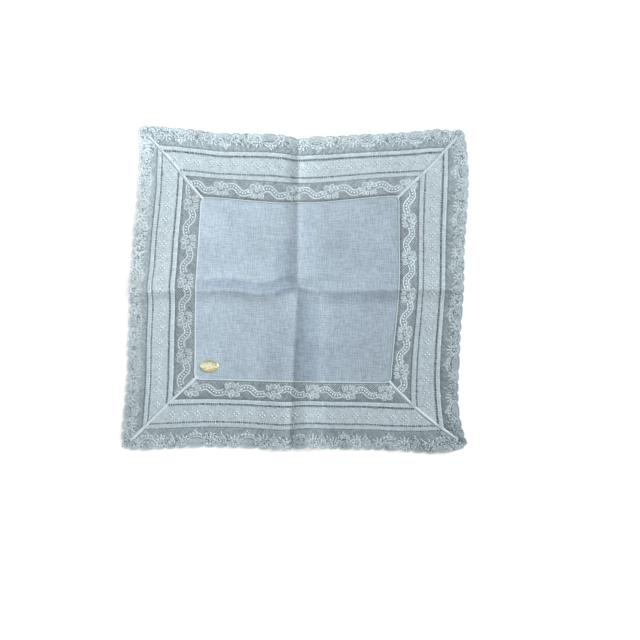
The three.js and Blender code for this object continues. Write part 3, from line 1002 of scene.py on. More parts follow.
@dataclass
class LinenPanel:
    """The middle panel of linen, with rounded corners and a rolled and whipped edge.

    Each row of shades is a box of painted shade beside a crease: its low and high u, its low and high
    distance to the level crease's line, its softness, and how much lighter the cloth is there, which is
    below 0 where shade is painted. The linen at tone 1 is lighter than at tone 0 by the share lift.
    """

    thickness: float = 0.7
    spacing: float = 1.25
    roll: float = 0.76
    roll_height: float = 0.6
    roll_sides: int = 8
    roll_tone: float = 0.28
    whip_pitch: float = 1.3
    whip_depth: float = 0.18
    rounding: float = 5.5
    lift: float = 0.35
    shades: Rows = (
        (-95, -20, 2, 11.5, 4, -0.21), (-20, -3, -5, 13, 4, -0.20), (22, 95, -12, -3, 4, -0.10),
        (1, 20, -95, -1, 5, -0.105), (5, 17, -95, -48, 6, -0.10), (-4, 1.5, -95, -48, 3, -0.12),
        (17, 32, -95, -48, 8, -0.06), (4, 13, 4, 95, 5, -0.05), (14, 45, 8, 50, 8, -0.05),
        (-20, -5, 8, 50, 5, -0.10),
    )

    def half(self, inset: float) -> Array:
        """Half sizes of the panel less an inset."""
        return np.array([CUT.width, CUT.depth]) / 2 - CUT.panel_start - CUT.gap / 2 - inset

    def cloth(self) -> bpy.types.Object:
        """The linen as one closed sheet, reaching to the middle of its rolled edge.

        It is an even grid whose corner squares are drawn in to quarter discs: a place (a, b) of the
        square goes to (a, b) max(a, b) / |(a, b)|.

        Returns:
            The cloth's piece.
        """
        half = self.half(self.roll)
        counts = np.ceil(2 * half / self.spacing).astype(int) + 1
        u, v = np.meshgrid(np.linspace(-half[0], half[0], counts[0]),
                           np.linspace(-half[1], half[1], counts[1]))
        inner = half - self.rounding
        a, b = np.maximum(np.abs(u) - inner[0], 0), np.maximum(np.abs(v) - inner[1], 0)
        drawn = np.maximum(a, b) / np.maximum(np.hypot(a, b), 1e-9)
        both = (a > 0) & (b > 0)
        u = np.where(both, np.sign(u) * (inner[0] + a * drawn), u)
        v = np.where(both, np.sign(v) * (inner[1] + b * drawn), v)
        flat = np.zeros_like(u)
        # The sheet's tone is the painted shade beside the creases.
        sheet = slab(u, v, flat + self.thickness, flat, self.shade(u, v))
        piece = piece_from("linen_cloth", sheet, LINEN.material())
        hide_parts("linen_panel")
        return piece

    def shade(self, u: Array, v: Array) -> Array:
        """Painted shade beside the creases, as a tone: a sum of soft-edged boxes.

        A box is the smooth steps at its four sides, multiplied, and its distance to the far side is
        taken from the level crease's line.

        Args:
            u: Places to the right.
            v: Places to the far side.

        Returns:
            A tone at each place.
        """
        above = v - LAY.wandering(u)
        total = np.zeros_like(u)
        for left, right, low, high, soft, change in self.shades:
            across = smooth_step((u - left) / soft + 0.5) * smooth_step((right - u) / soft + 0.5)
            along = smooth_step((above - low) / soft + 0.5) * smooth_step((high - above) / soft + 0.5)
            total += change * across * along
        return np.where(total < 0, total / LINEN.shadow, total / self.lift)

    def rolled_edge(self) -> bpy.types.Object:
        """The rolled edge: a round roll along a rounded rectangle, nipped by every whipping stitch.

        Its radius is roll (1 - whip_depth cos^2) with a stitch to every half turn of the cosine, and
        its height is roll_height of its width.

        Returns:
            The edge's piece.
        """
        half, rounding = self.half(self.roll), self.rounding
        turn = np.linspace(0, math.pi / 2, 8)
        arcs = []
        for k, (x, y) in enumerate(((1, 1), (-1, 1), (-1, -1), (1, -1))):
            angle = turn + k * math.pi / 2
            arcs.append(np.stack([x * (half[0] - rounding) + rounding * np.cos(angle),
                                  y * (half[1] - rounding) + rounding * np.sin(angle)], 1))
        corners = np.concatenate(arcs + [arcs[0][:1]])
        length = np.concatenate([[0], np.cumsum(np.linalg.norm(np.diff(corners, axis=0), axis=1))])
        stitches = round(length[-1] / self.whip_pitch)
        at = np.arange(4 * stitches) * length[-1] / (4 * stitches)
        path = np.stack([np.interp(at, length, corners[:, 0]), np.interp(at, length, corners[:, 1]),
                         np.full_like(at, self.roll * self.roll_height)], 1)[None]
        angle = 2 * math.pi * (np.arange(self.roll_sides) + 0.5) / self.roll_sides
        nipped = self.whip_depth * np.cos(math.pi / 4 * np.arange(len(at)))[:, None] ** 2
        radius = self.roll * (1 - nipped)
        section = np.stack([radius * np.cos(angle), self.roll_height * radius * np.sin(angle)], -1)[None]
        roll = sweep(path, section, self.roll_tone, closed=True)
        piece = piece_from("rolled_edge", roll, STITCH.material())
        return piece

    def build(self) -> None:
        cloth, edge = self.cloth(), self.rolled_edge()


@dataclass
class Net:
    """Net of two sets of threads that cross slantwise, over one thin felt that stands for its finest threads
    and is painted shade in its holes.

    The threads of one set run higher than height by crossing, and those of the other lower. They
    stray a little, stop clear of the side's tips, and are uneven in tone by mottle. Its outer line
    is given at places even places.
    """

    side: Side
    pitch: float = 1.7
    radius: float = 0.32
    height: float = 0.5
    crossing: float = 0.06
    steps: int = 9
    stray: float = 0.13
    tone: float = 0.46
    mottle: float = 0.34
    felt: float = 0.25
    clear: float = 4.5
    columns: int = 241
    rounds: int = 8
    places: int = 2001

    def ground(self, start: Array, end: float) -> Shell:
        """The felt between an outer line and an inner one, as a closed sheet of painted shade near tone 0.

        Args:
            start: Outer line, as d at even places from -run to run.
            end: Inner line's d.

        Returns:
            The sheet along the side, with an uneven tone.
        """
        side = self.side
        share, turn = np.meshgrid(np.linspace(0, 1, self.steps), np.linspace(-1, 1, self.columns),
                                  indexing="ij")
        places = np.linspace(-side.run, side.run, len(start))
        outer = np.interp(turn * side.limit(float(start.mean())), places, start)
        d = outer + (end - outer) * share
        tone = self.mottle * side.randomness().normal(size=d.shape)
        return slab(turn * side.limit(d), d, np.full_like(d, self.felt), np.zeros_like(d), tone)

    def threads(self, start: Array, end: float) -> Shell:
        """Threads between an outer line and an inner one.

        A thread of the first set runs along s + d = c and one of the second along s - d = c, from
        the outer line to the inner one or to the mitre that it meets first, and strays a little.
        Where it meets the outer line is found in a few rounds.

        Args:
            start: Outer line, as d at even places from -run to run.
            end: Inner line's d.

        Returns:
            All the threads, as three-sided tubes along the side.
        """
        side, shells, random = self.side, [], self.side.randomness()
        places = np.linspace(-side.run, side.run, len(start))
        reach = side.run - CUT.mitre_trim
        for slant in (1.0, -1.0):
            c = np.arange(-side.run, side.run + end, self.pitch * math.sqrt(2))
            low = np.full_like(c, float(start.mean()))
            for _ in range(self.rounds):
                low = np.interp(slant * (c - low), places, start)
            high = np.minimum(end, (c + reach) / 2)
            kept = (c < reach) & (high - low > self.pitch) & (np.abs(c - low) < side.run - self.clear)
            share = np.linspace(0, 1, self.steps)
            d = low[kept, None] + (high - low)[kept, None] * share
            s = slant * (c[kept, None] - d)
            free = self.stray * ((share > 0) & (share < 1))
            d, s = d + free * random.normal(size=d.shape), s + free * random.normal(size=d.shape)
            w = np.full_like(d, self.height + self.crossing * slant)
            tone = self.tone + self.mottle * random.normal(size=d.shape)
            shells.append(sweep(np.stack([s, d, w], -1), round_section(self.radius, 3), tone))
        return Shell.joined(shells)


class Motifs:
    """Copies of one repeat's lines and patches along a side.

    Places are (x, d), with x from the repeat's own mark. The marks say where along the side the
    repeats stand, base is the height of the ground under them, and bend gives how far in each place
    (s, d) is shifted, to follow a worn edge. A copy of a line is left out where no more than LEAST
    of it lies between the mitres, and a patch within MARGIN of them. A petal is FILL high, and the
    cord round it has the half width RIM and is RIM_HEIGHT high.
    """

    LEAST = 0.35
    MARGIN = 0.7
    FILL = 0.22
    RIM = 0.3
    RIM_HEIGHT = 0.38

    def __init__(self, side: Side, marks: Array, base: float, bend: Bend) -> None:
        """Starts on a side, with the repeats' marks along it, the ground's height and the bend."""
        self.side, self.marks, self.base, self.bend = side, marks, base, bend
        self.shells: list[Shell] = []

    def spread(self, places: Array) -> Array:
        """Copies places to every mark.

        Args:
            places: Places of one repeat.

        Returns:
            Places (s, d) along the side, as (mark, place, 2).
        """
        copies = self.marks[:, None, None] * (1, 0) + places[None]
        copies[..., 1] += self.bend(copies[..., 0], copies[..., 1])
        return copies

    def line(self, knots: Knots | Array, half_width: float, tone: float, height: float = 0.35,
             step: float = 0.9) -> None:
        """Adds a low cord along a smoothed line of every repeat.

        Args:
            knots: Places of the line.
            half_width: Half its width.
            tone: Its tone.
            height: How far it rises over the ground.
            step: Distance of its points.
        """
        copies = self.spread(smoothed(knots, step))
        inside = self.side.keeps(copies[..., 0], copies[..., 1]).mean(1) > self.LEAST
        if not inside.any():
            return
        copies = copies[inside]
        paths = np.concatenate([copies, np.full(copies.shape[:2] + (1,), self.base)], -1)
        self.shells.append(sweep(paths, flat_section(half_width, height), tone))

    def patch(self, rows: Rows, form: Form, tone: float, height: float = 0.4,
              corners: int = 10) -> None:
        """Adds patches to every repeat.

        Args:
            rows: Rows of (x, d, half length, half width, degrees).
            form: Their outline.
            tone: Their tone.
            height: How far they rise over the ground.
            corners: Corners of their outline.
        """
        table = np.array(rows, float)
        copies = self.spread(table[:, :2]).reshape(-1, 2)
        rest = np.tile(table[:, 2:], (len(self.marks), 1))
        kept = self.side.keeps(copies[:, 0], copies[:, 1], self.MARGIN)
        self.shells.append(patches(copies[kept], rest[kept, :2], np.radians(rest[kept, 2]), form, tone,
                                   self.base, height, corners))

    def petals(self, rows: Rows, fill: float, rim: float) -> None:
        """Adds ovals with a fine cord round each to every repeat.

        Args:
            rows: Rows of (x, d, half length, half width, degrees).
            fill: The ovals' tone.
            rim: The cords' tone.
        """
        self.patch(rows, Form.OVAL, fill, self.FILL)
        turn = np.linspace(0, 2 * math.pi, 11)
        for x, d, long, wide, degrees in rows:
            along, across = long * np.cos(turn), wide * np.sin(turn)
            cos, sin = math.cos(math.radians(degrees)), math.sin(math.radians(degrees))
            ring = np.stack([x + along * cos - across * sin, d + along * sin + across * cos], 1)
            self.line(ring, self.RIM, rim, self.RIM_HEIGHT)

    def flower(self, x: float, d: float, reach: float, petals: int, petal: tuple[float, float],
               tone: float, start: float = 0.0) -> None:
        """Adds a ring of petals to every repeat.

        Args:
            x: The flower's middle, from the repeat's mark.
            d: Its distance in.
            reach: Distance of the petals' middles from it.
            petals: How many there are.
            petal: Half length and half width of each.
            tone: Their tone.
            start: Direction of the first, in radians.
        """
        rows = tuple((x + reach * math.cos(a), d + reach * math.sin(a), *petal, math.degrees(a))
                     for a in start + 2 * math.pi * np.arange(petals) / petals)
        self.patch(rows, Form.OVAL, tone, 0.32)


@dataclass
class LaceInsertion:
    """One side's inner lace: net with a garland of beaded ribbons and sprays.

    ribbon is the middle line of one hump, spray the petals beside it, spray_bed the close work under
    them and eyes their openings, as places from the repeat's mark. dark is the tone of an opening and
    of a hole between beads, which is painted shade. The net's ground, a felt of painted shade, reaches
    under the panel's edge by under.
    """

    side: Side
    ribbon_half: float = 2.5
    ribbon_ground: float = 1.9
    bead: float = 0.75
    hole: float = 0.6
    bead_pitch: float = 2.65
    cord: float = 0.42
    opening_shade: float = -0.85
    base: float = 0.5
    under: float = 2.2
    net_tone: float = 0.42
    net_mottle: float = 0.15
    ribbon: Knots = (
        (-4.4, 50.8), (-1.8, 49.8), (0.6, 49.5), (2.8, 49.7), (4.8, 51.0), (6.6, 52.8), (8.5, 54.5),
        (11.0, 55.3), (13.2, 55.2), (15.2, 54.4), (17.2, 53.4),
    )
    spray: Rows = (
        (20.4, 48.7, 2.7, 2.2, 20), (24.9, 47.5, 2.2, 1.5, 88), (28.4, 49.3, 2.4, 1.5, 60),
        (18.2, 52.9, 1.9, 1.3, 10), (19.9, 56.8, 2.2, 1.3, 100), (22.9, 57.2, 2.1, 1.0, 90),
        (26.2, 57.0, 2.2, 1.0, 88), (29.3, 56.0, 2.7, 1.0, 80), (24.2, 51.6, 1.6, 1.3, 0),
    )
    spray_bed: Rows = ((23.9, 52.4, 5.6, 3.6, 0),)
    eyes: Rows = (
        (21.8, 52.0, 0.55, 0.6, 0), (24.6, 54.3, 0.8, 0.5, 0), (27.0, 52.4, 0.55, 0.6, 0),
        (24.5, 57.4, 1.3, 0.35, 90), (22.6, 49.6, 0.4, 0.6, 0),
    )

    def figure(self) -> Shell:
        """Ribbons with a row of beads and openings between two cords, and sprays of petals.

        Returns:
            The garland, along the side.
        """
        side = self.side
        marks = side.repeats(side.hump, side.humps)
        motifs = Motifs(side, marks, self.base, lambda s, d: np.zeros_like(s))
        middle = smoothed(self.ribbon, 0.8)
        motifs.line(middle, self.ribbon_ground, 0.17, 0.12)
        for offset in (-self.ribbon_half, self.ribbon_half):
            motifs.line(beside(middle, offset), self.cord, 1.0, 0.34)
        beads = smoothed(self.ribbon, self.bead_pitch / 2)
        # The holes between the beads are painted shade.
        for places, half, tone in ((beads[1::2], self.bead, 1.0), (beads[2::2], self.hole, self.opening_shade)):
            rows = tuple((x, d, half, half, 0.0) for x, d in places)
            motifs.patch(rows, Form.OVAL, tone, 0.5 if tone > 0 else 0.2, 7)
        motifs.patch(self.spray_bed, Form.OVAL, 0.2, 0.12, 14)
        motifs.petals(self.spray, 0.3, 0.96)
        # The sprays' eyes are painted shade.
        motifs.patch(self.eyes, Form.OVAL, self.opening_shade, 0.4, 7)
        return Shell.joined(motifs.shells)

    def build(self) -> None:
        side, name = self.side, self.side.name
        net = Net(side, tone=self.net_tone, mottle=self.net_mottle)
        start, end = CUT.lawn_end + CUT.gap / 2, CUT.panel_start - CUT.gap / 2
        line = np.full(net.places, start)
        # The felt under the net is painted shade.
        felt = net.ground(line - CUT.gap, end + self.under)
        ground = piece_from(f"insertion_shade_felt_{name}", felt.along(side), INNER_LACE.material())
        work = Shell.joined([net.threads(line, end), self.figure()])
        lace = piece_from(f"insertion_lace_{name}", work.along(side), INNER_LACE.material())
        declare_strip(side, ground, lace, "lace_insertion", "lace", start, end)


@dataclass
class LawnBand:
    """One side's band of lawn: two folded hems, two ladders of drawn threads, and lozenges.

    The ladders' floor is the well, a sheet of painted shade standing for the open ladder, with the
    tone drawn, made lighter by up to gather where threads bunch, and the lines beside a ladder,
    where the height changes by more than step, stray. Of the ladders' bars a share is missing, and
    the rest are uneven in width by bar_uneven and in tone over bar_tones. A lozenge is four dots
    round an eye of painted shade, in a row that stands off the band's middle line.
    """

    side: Side
    field_height: float = 0.8
    hem_height: float = 1.15
    well: float = 0.25
    spacing: float = 1.4
    gather: float = 0.45
    stray: float = 0.13
    step: float = 0.2
    missing: float = 0.12
    drawn: float = 0.02
    bar_pitch: float = 1.62
    bar_width: float = 0.78
    bar_uneven: tuple[float, float] = (0.6, 1.3)
    bar_tones: tuple[float, float] = (0.4, 1.1)
    bar_end: float = 1.1
    seam_room: float = 1.6
    lozenge_reach: float = 1.85
    lozenge_off: float = 0.4
    dot: float = 0.84
    dot_tone: float = 0.9
    eye: float = 0.55
    eye_shade: float = -0.35
    sunk: float = 0.1

    @property
    def span(self) -> tuple[float, float]:
        """Distances in to the band's outer and inner edges."""
        return CUT.edging + CUT.gap / 2, CUT.lawn_end - CUT.gap / 2

    def profile(self) -> tuple[Array, Array, Array]:
        """The band's section: how far in, how high, and how light it is at each line.

        Returns:
            Distances in, heights and tones.
        """
        start, end = self.span
        hem_edge, inner_edge = CUT.edging + CUT.outer_hem, CUT.field_end + CUT.ladder
        hem, plain, well = self.hem_height, self.field_height, self.well
        lines = [(start, 0.6 * hem, 0.95), (start + 0.25, 0.95 * hem, 1.05), (start + 0.7, hem, 1.0)]
        lines += [((start + hem_edge) / 2, hem, 0.93), (hem_edge - 0.7, hem, 1.0)]
        lines += [(hem_edge - 0.25, hem, 1.08)]
        # The wells carry painted shade.
        lines += [(hem_edge, 0.75 * hem, 0.9), (hem_edge + 0.12, well, self.drawn)]
        lines += [(CUT.field_start - 0.12, well, self.drawn), (CUT.field_start, 0.8 * plain, 0.85)]
        lines += [(CUT.field_start + 0.4, plain, 0.95)]
        lines += [(CUT.field_start + share * CUT.lawn, plain, 0.88) for share in np.linspace(0.12, 0.88, 5)]
        lines += [(CUT.field_end - 0.4, plain, 0.95), (CUT.field_end, 0.8 * plain, 0.85)]
        lines += [(CUT.field_end + 0.12, well, self.drawn), (inner_edge - 0.12, well, self.drawn)]
        lines += [(inner_edge, 0.75 * hem, 0.9), (inner_edge + 0.25, hem, 1.08), (inner_edge + 0.7, hem, 1.0)]
        lines += [((inner_edge + end) / 2, hem, 0.93), (end - 0.7, hem, 1.0), (end - 0.25, 0.95 * hem, 1.05)]
        lines += [(end, 0.6 * hem, 0.95)]
        table = np.array(lines)
        return table[:, 0], table[:, 1], table[:, 2]

    def cloth(self) -> Shell:
        """The band as one closed sheet: its section carried between the mitres.

        Tone is the section's, and in the ladders gather r^2 more, with r random, and beside the creases
        painted light and painted shade, the change times 1 - distance / reach.

        Returns:
            The sheet, along the side.
        """
        inset, height, tone = self.profile()
        count = int(2 * self.side.run / self.spacing)
        share = np.linspace(-1, 1, count + 1)
        d, t = np.meshgrid(inset, share, indexing="ij")
        top = np.broadcast_to(height[:, None], d.shape)
        random = self.side.randomness()
        threads = self.gather * random.random(d.shape[1]) ** 2 * (tone[:, None] == self.drawn)
        beside_ladder = (np.abs(np.gradient(height)) > self.step) | (tone == self.drawn)
        stray = self.stray * random.normal(size=d.shape[1]) * beside_ladder[:, None]
        s = t * self.side.limit(d)
        # Painted light and painted shade beside the creases.
        painted_crease_tone = sum(change * np.clip(1 - np.abs(s - place) / reach, 0, 1)
                      for place, reach, change in self.side.painted_crease_tone)
        return slab(s, d + stray, top, np.zeros_like(d), tone[:, None] + threads + painted_crease_tone)

    def bars(self) -> Shell:
        """Bundles of threads over both ladders, each drawn in at its middle and stitched at its ends.

        Returns:
            The bars, as four-sided tubes along the side.
        """
        shells, random, over = [], self.side.randomness(), CUT.ladder
        plain, hem = self.field_height, self.hem_height
        for start, before, after in ((CUT.edging + CUT.outer_hem, hem, plain), (CUT.field_end, plain, hem)):
            reach = float(self.side.limit(start)) - self.seam_room
            s = np.arange(-reach, reach, self.bar_pitch)
            s = s[random.random(len(s)) > self.missing]
            d = start + np.array([-self.bar_end, -0.1, 0.35, over / 2, over - 0.35, over + 0.1,
                                  over + self.bar_end])
            w = np.array([before - 0.06, before + 0.04, plain + 0.1, plain + 0.02, plain + 0.1,
                          after + 0.04, after - 0.06])
            paths = np.stack(np.broadcast_arrays(s[:, None], d[None], w[None]), -1)
            widths = self.bar_width / 2 * np.array([0.4, 0.8, 0.9, 0.65, 0.9, 0.8, 0.4])
            section = round_section(1.0, 4)[None, None] * widths[None, :, None, None]
            section = section * random.uniform(*self.bar_uneven, len(s))[:, None, None, None]
            tone = np.broadcast_to(random.uniform(*self.bar_tones, len(s))[:, None], paths.shape[:2])
            shells.append(sweep(paths, section, tone))
        return Shell.joined(shells)

    def lozenges(self) -> Shell:
        """Four padded dots and an eye for each lozenge, along the middle of the band.

        The lozenges' places are curve_through of the few that the side gives.

        Returns:
            The lozenges, along the side.
        """
        middle = (CUT.field_start + CUT.field_end) / 2 - self.lozenge_off
        index, place = np.array(self.side.lozenges, float).T
        s = curve_through(index, place, np.arange(index[-1] + 1))
        around = np.array([(1, 0), (0, 1), (-1, 0), (0, -1)]) * self.lozenge_reach
        middles = np.stack([s, np.full_like(s, middle)], 1)
        centres = (middles[:, None] + around[None]).reshape(-1, 2)
        halves, base = np.full((len(centres), 2), self.dot), self.field_height - self.sunk
        dots = patches(centres, halves, np.zeros(len(centres)), Form.OVAL, self.dot_tone, base, 0.45, 8)
        # The lozenges' eyes are painted shade.
        eyes = patches(middles, np.full((len(s), 2), self.eye), np.zeros(len(s)), Form.OVAL,
                       self.eye_shade, base, 0.2, 7)
        return Shell.joined([dots, eyes])

    def build(self) -> None:
        side, name = self.side, self.side.name
        cloth = piece_from(f"lawn_cloth_{name}", self.cloth().along(side), LAWN.material())
        stitches = Shell.joined([self.bars(), self.lozenges()])
        work = piece_from(f"lawn_stitches_{name}", stitches.along(side), STITCH.material())
        declare_strip(side, cloth, work, "lawn_band", "lawn", *self.span)


@dataclass
class LaceEdging:
    """One side's outer lace: net, and flowers, fans and leaves along a scalloped edge.

    scallops are the shares of a repeat that each scallop takes, from the repeat's mark. The lace
    lies in soft waves, ripple_height high. Its small knots and openings stand in clusters, which
    stray by cluster along and across and lie up to depth in, and tip_knots of them fill the tips,
    tip_in from the outer edge and tip_off from the mitre. light is the share of knots, and the rest
    are openings, patches of painted shade. The net starts net_in from the edge, and bend dies out
    bend_fade in.

    bands are the worked band, the dense band and the cord along the edge, as rows of a distance
    from it, a half width, a height, a lift over the ground and a tone. They run on past the mitre,
    and the picots stop picot_clear short of that.

    The figure's lines are places from the repeat's mark, and its patches are rows of a place, a half
    length, a half width and degrees: cloth-worked beds, a fan with two rims, a festoon with leaves
    over it, two flowers with leaves, openings, a ribbed leaf, and buds between them.
    """

    side: Side
    scallops: tuple[float, ...] = (0.34, 0.22, 0.22, 0.22)
    scallop_depth: float = 1.5
    ripple_height: float = 0.8
    ripple_length: float = 37.0
    base: float = 0.5
    bands: Rows = ((4.0, 3.2, 0.1, 0.0, 0.0), (1.5, 1.2, 0.16, 0.0, 0.5), (0.4, 0.42, 0.22, 0.2, 0.85))
    past: float = 1.5
    picot: tuple[float, float] = (0.6, 0.8)
    picot_in: float = 0.3
    picot_lift: float = 0.2
    picot_pitch: float = 1.75
    picot_clear: float = 4.0
    net_in: float = 0.4
    corner: float = 7.0
    knots: int = 700
    tip_knots: int = 70
    clusters: int = 56
    cluster: tuple[float, float] = (2.3, 1.7)
    net_tone: float = 0.56
    depth: float = 8.5
    rim: float = 0.9
    tip_in: tuple[float, float] = (2.2, 15.0)
    tip_off: tuple[float, float] = (0.9, 7.0)
    long: tuple[float, float] = (0.45, 1.2)
    wide: tuple[float, float] = (0.32, 0.6)
    light: float = 0.55
    knot_tones: tuple[float, float] = (0.8, 1.2)
    opening_shade_range: tuple[float, float] = (-0.85, -0.3)
    bend_fade: float = 17.0
    border_step: float = 0.55
    beds: Rows = (
        (-11.6, 6.2, 5.4, 4.6, 0), (11.6, 5.6, 4.4, 3.9, 0), (22.8, 6.2, 4.0, 4.0, 100),
        (17.2, 3.4, 3.0, 2.2, 0), (-16.6, 3.2, 2.6, 2.0, 0), (0.8, 11.2, 5.0, 1.9, 0),
    )
    fan_bed: Rows = ((0.2, 4.0, 6.4, 2.5, 0),)
    fan_rim: Knots = ((-8.6, 2.4), (-7.4, 5.6), (-4.2, 8.4), (0.2, 9.6), (4.4, 8.6), (7.6, 5.8), (8.8, 2.4))
    fan_inner: Knots = ((-6.8, 2.6), (-5.2, 5.0), (-2.0, 6.8), (1.8, 7.0), (5.0, 5.4), (6.9, 2.8))
    festoon: Knots = ((-4.6, 9.4), (-1.4, 12.0), (2.0, 14.2), (4.4, 12.0), (7.2, 8.8))
    festoon_leaves: Rows = (
        (-3.2, 11.3, 1.6, 0.75, 40), (0.6, 11.8, 1.5, 0.8, 70), (3.2, 11.6, 1.5, 0.8, 110),
        (6.4, 11.4, 1.6, 0.75, 140), (2.0, 14.6, 1.1, 0.75, 90),
    )
    openings: Rows = (
        (-13.0, 5.2, 0.85, 0.85, 0), (-10.2, 5.0, 0.85, 0.85, 0), (11.4, 4.6, 0.75, 0.75, 0),
        (17.6, 6.8, 1.7, 0.9, 0), (-17.2, 7.2, 1.5, 0.8, 0), (27.4, 4.0, 0.7, 0.9, 0),
    )
    flower_bead: Rows = ((-11.6, 5.2, 0.5, 0.9, 0),)
    flower_leaves: Rows = (
        (-14.6, 10.8, 1.9, 0.8, 125), (-11.6, 11.6, 2.1, 0.9, 90), (-8.4, 11.2, 2.0, 0.8, 55),
        (-7.0, 8.8, 1.5, 0.7, 30), (-16.4, 8.8, 1.6, 0.7, 150),
    )
    small_leaves: Rows = ((9.4, 9.0, 1.9, 0.8, 120), (12.4, 9.8, 2.0, 0.8, 85), (15.2, 8.4, 1.9, 0.8, 45))
    ribbed_leaf: Knots = ((20.2, 2.6), (19.4, 5.4), (20.8, 8.8), (23.6, 11.6), (26.0, 8.6), (26.6, 5.2),
                          (25.2, 2.6))
    ribs: int = 4
    rib_step: float = 1.7
    buds: Rows = ((23.4, 13.0, 1.4, 0.75, 90), (18.0, 10.4, 1.7, 0.75, 60), (-20.0, 4.4, 1.3, 0.9, 90))

    def share(self, s: Array) -> Array:
        """Share of the way from the middle of the strip to its end, from -1 to 1."""
        return np.clip(s / self.side.limit(1.0), -1, 1)

    def wear(self, share: Array) -> Array:
        """How far in the edge is worn at each share of the way, by both ends' wear."""
        start, end, run = self.side.start, self.side.end, self.side.run
        return start.inset((1 + share) * run) + end.inset((1 - share) * run)

    def edge(self, s: Array) -> Array:
        """How far in the scalloped edge stands.

        It is a notch |2t - 1|^3 between scallops, the wear, and the rounding r - sqrt(r^2 - x^2) of
        the corners.

        Args:
            s: Places along the side.

        Returns:
            The edge's d at each place.
        """
        side, share = self.side, self.share(s)
        x = (share * (side.run - CUT.mitre_trim) - side.fan) / side.fans + self.scallops[0] / 2
        bounds = np.concatenate([[0], np.cumsum(self.scallops)])
        within = x - np.floor(x)
        index = np.clip(np.searchsorted(bounds, within, side="right") - 1, 0, len(self.scallops) - 1)
        t = (within - bounds[index]) / np.array(self.scallops)[index]
        notch = self.scallop_depth * np.abs(2 * t - 1) ** 3
        near = np.clip(self.corner - (1 - np.abs(share)) * side.run, 0, self.corner)
        return notch + self.wear(share) + self.corner - np.sqrt(self.corner ** 2 - near ** 2)

    def bend(self, s: Array, d: Array) -> Array:
        """How far the figure follows the worn edge in at (s, d): the wear times 1 - d / bend_fade."""
        worn = self.wear(self.share(s))
        return worn * np.clip(1 - d / self.bend_fade, 0, 1)

    def eased(self, shell: Shell) -> Shell:
        """Lifts a shell on the lace's soft waves, which fade towards the lawn.

        The lift is ripple_height (1 - cos) / 2 of the place along the side, times 1 - d / edging.

        Args:
            shell: A shell of (s, d, w).

        Returns:
            The lifted shell.
        """
        s, d, w = shell.points.T
        turn = 2 * math.pi * s / np.maximum(self.side.limit(d), 1.0) * self.side.run / self.ripple_length
        ripple = 0.5 - 0.5 * np.cos(turn)
        lift = self.ripple_height * ripple * np.clip(1 - d / CUT.edging, 0, 1.1)
        return Shell(np.stack([s, d, w + lift], 1), shell.quads, shell.triangles, shell.tone)

    def filling(self) -> Shell:
        """Seeded small knots and openings of the worked edge, fewer away from it.

        Returns:
            The knots and openings, along the side.
        """
        side, random = self.side, self.side.randomness()
        group = random.integers(0, self.clusters, self.knots)
        middle = random.uniform(-side.run, side.run, self.clusters)[group]
        s = middle + self.cluster[0] * random.normal(size=self.knots)
        deep = 0.8 + self.depth * random.beta(1.1, 1.5, self.clusters)[group]
        d = self.edge(s) + self.rim + np.abs(deep + self.cluster[1] * random.normal(size=self.knots))
        tips = slice(0, self.tip_knots)
        d[tips] = random.uniform(*self.tip_in, self.tip_knots)
        s[tips] = np.sign(s[tips]) * (side.limit(d[tips]) - random.uniform(*self.tip_off, self.tip_knots))
        kept = side.keeps(s, d, self.rim) & (d > self.edge(s) + self.rim)
        long, wide = random.uniform(*self.long, self.knots), random.uniform(*self.wide, self.knots)
        halves = np.stack([long, wide], 1)
        turns = random.uniform(0, math.pi, self.knots)
        # Knots that are not light are openings of painted shade.
        light = random.random(self.knots) < self.light
        knots, holes = (random.uniform(*tones, self.knots) for tones in (self.knot_tones, self.opening_shade_range))
        tone = np.where(light, knots, holes)
        return patches(np.stack([s, d], 1)[kept], halves[kept], turns[kept], Form.OVAL, tone[kept],
                       self.base + 0.16, 0.34, 6)

    def border(self) -> list[Shell]:
        """The bands along the scalloped edge, and its picots.

        Each follows the edge at its own distance in, and a picot is a half ring over the edge.

        Returns:
            The bands and the picots, along the side.
        """
        reach = self.side.limit(0.0) + self.past
        s = np.arange(-reach, reach, self.border_step)
        s = s[np.abs(s) < self.side.limit(self.edge(s)) + 0.2]
        edge = self.edge(s)
        made = []
        for inset, half, height, lift, tone in self.bands:
            line = np.stack([s, edge + inset, np.full_like(s, self.base + lift)], 1)[None]
            made.append(sweep(line, flat_section(half, height), tone))
        at = np.arange(-reach + self.picot_clear, reach - self.picot_clear, self.picot_pitch)
        angle = np.linspace(0, math.pi, 6)
        along, out = self.picot
        loops = np.stack(np.broadcast_arrays(
            at[:, None] + along * np.cos(angle),
            self.edge(at)[:, None] + self.picot_in - out * np.sin(angle), self.base + self.picot_lift), -1)
        return made + [sweep(loops, round_section(0.2, 3), 0.8)]

    def figure(self) -> Shell:
        """Fans over a festoon with leaves, a two-eyed flower, a small flower and a ribbed leaf.

        Returns:
            The figure with its border and filling, along the side.
        """
        side = self.side
        marks = side.repeats(side.fan, side.fans)
        motifs = Motifs(side, marks, self.base, self.bend)
        motifs.patch(self.beds, Form.OVAL, 0.12, 0.14, 14)
        motifs.patch(self.fan_bed, Form.OVAL, 0.12, 0.18, 14)
        motifs.line(self.fan_rim, 0.62, 0.8, 0.26)
        motifs.line(self.fan_inner, 0.34, 0.85)
        motifs.line(self.festoon, 0.42, 0.85)
        motifs.patch(self.festoon_leaves, Form.OVAL, 1.0, 0.4, 8)
        motifs.flower(x=-11.6, d=5.4, reach=3.5, petals=9, petal=(1.35, 0.95), tone=0.95, start=0.1)
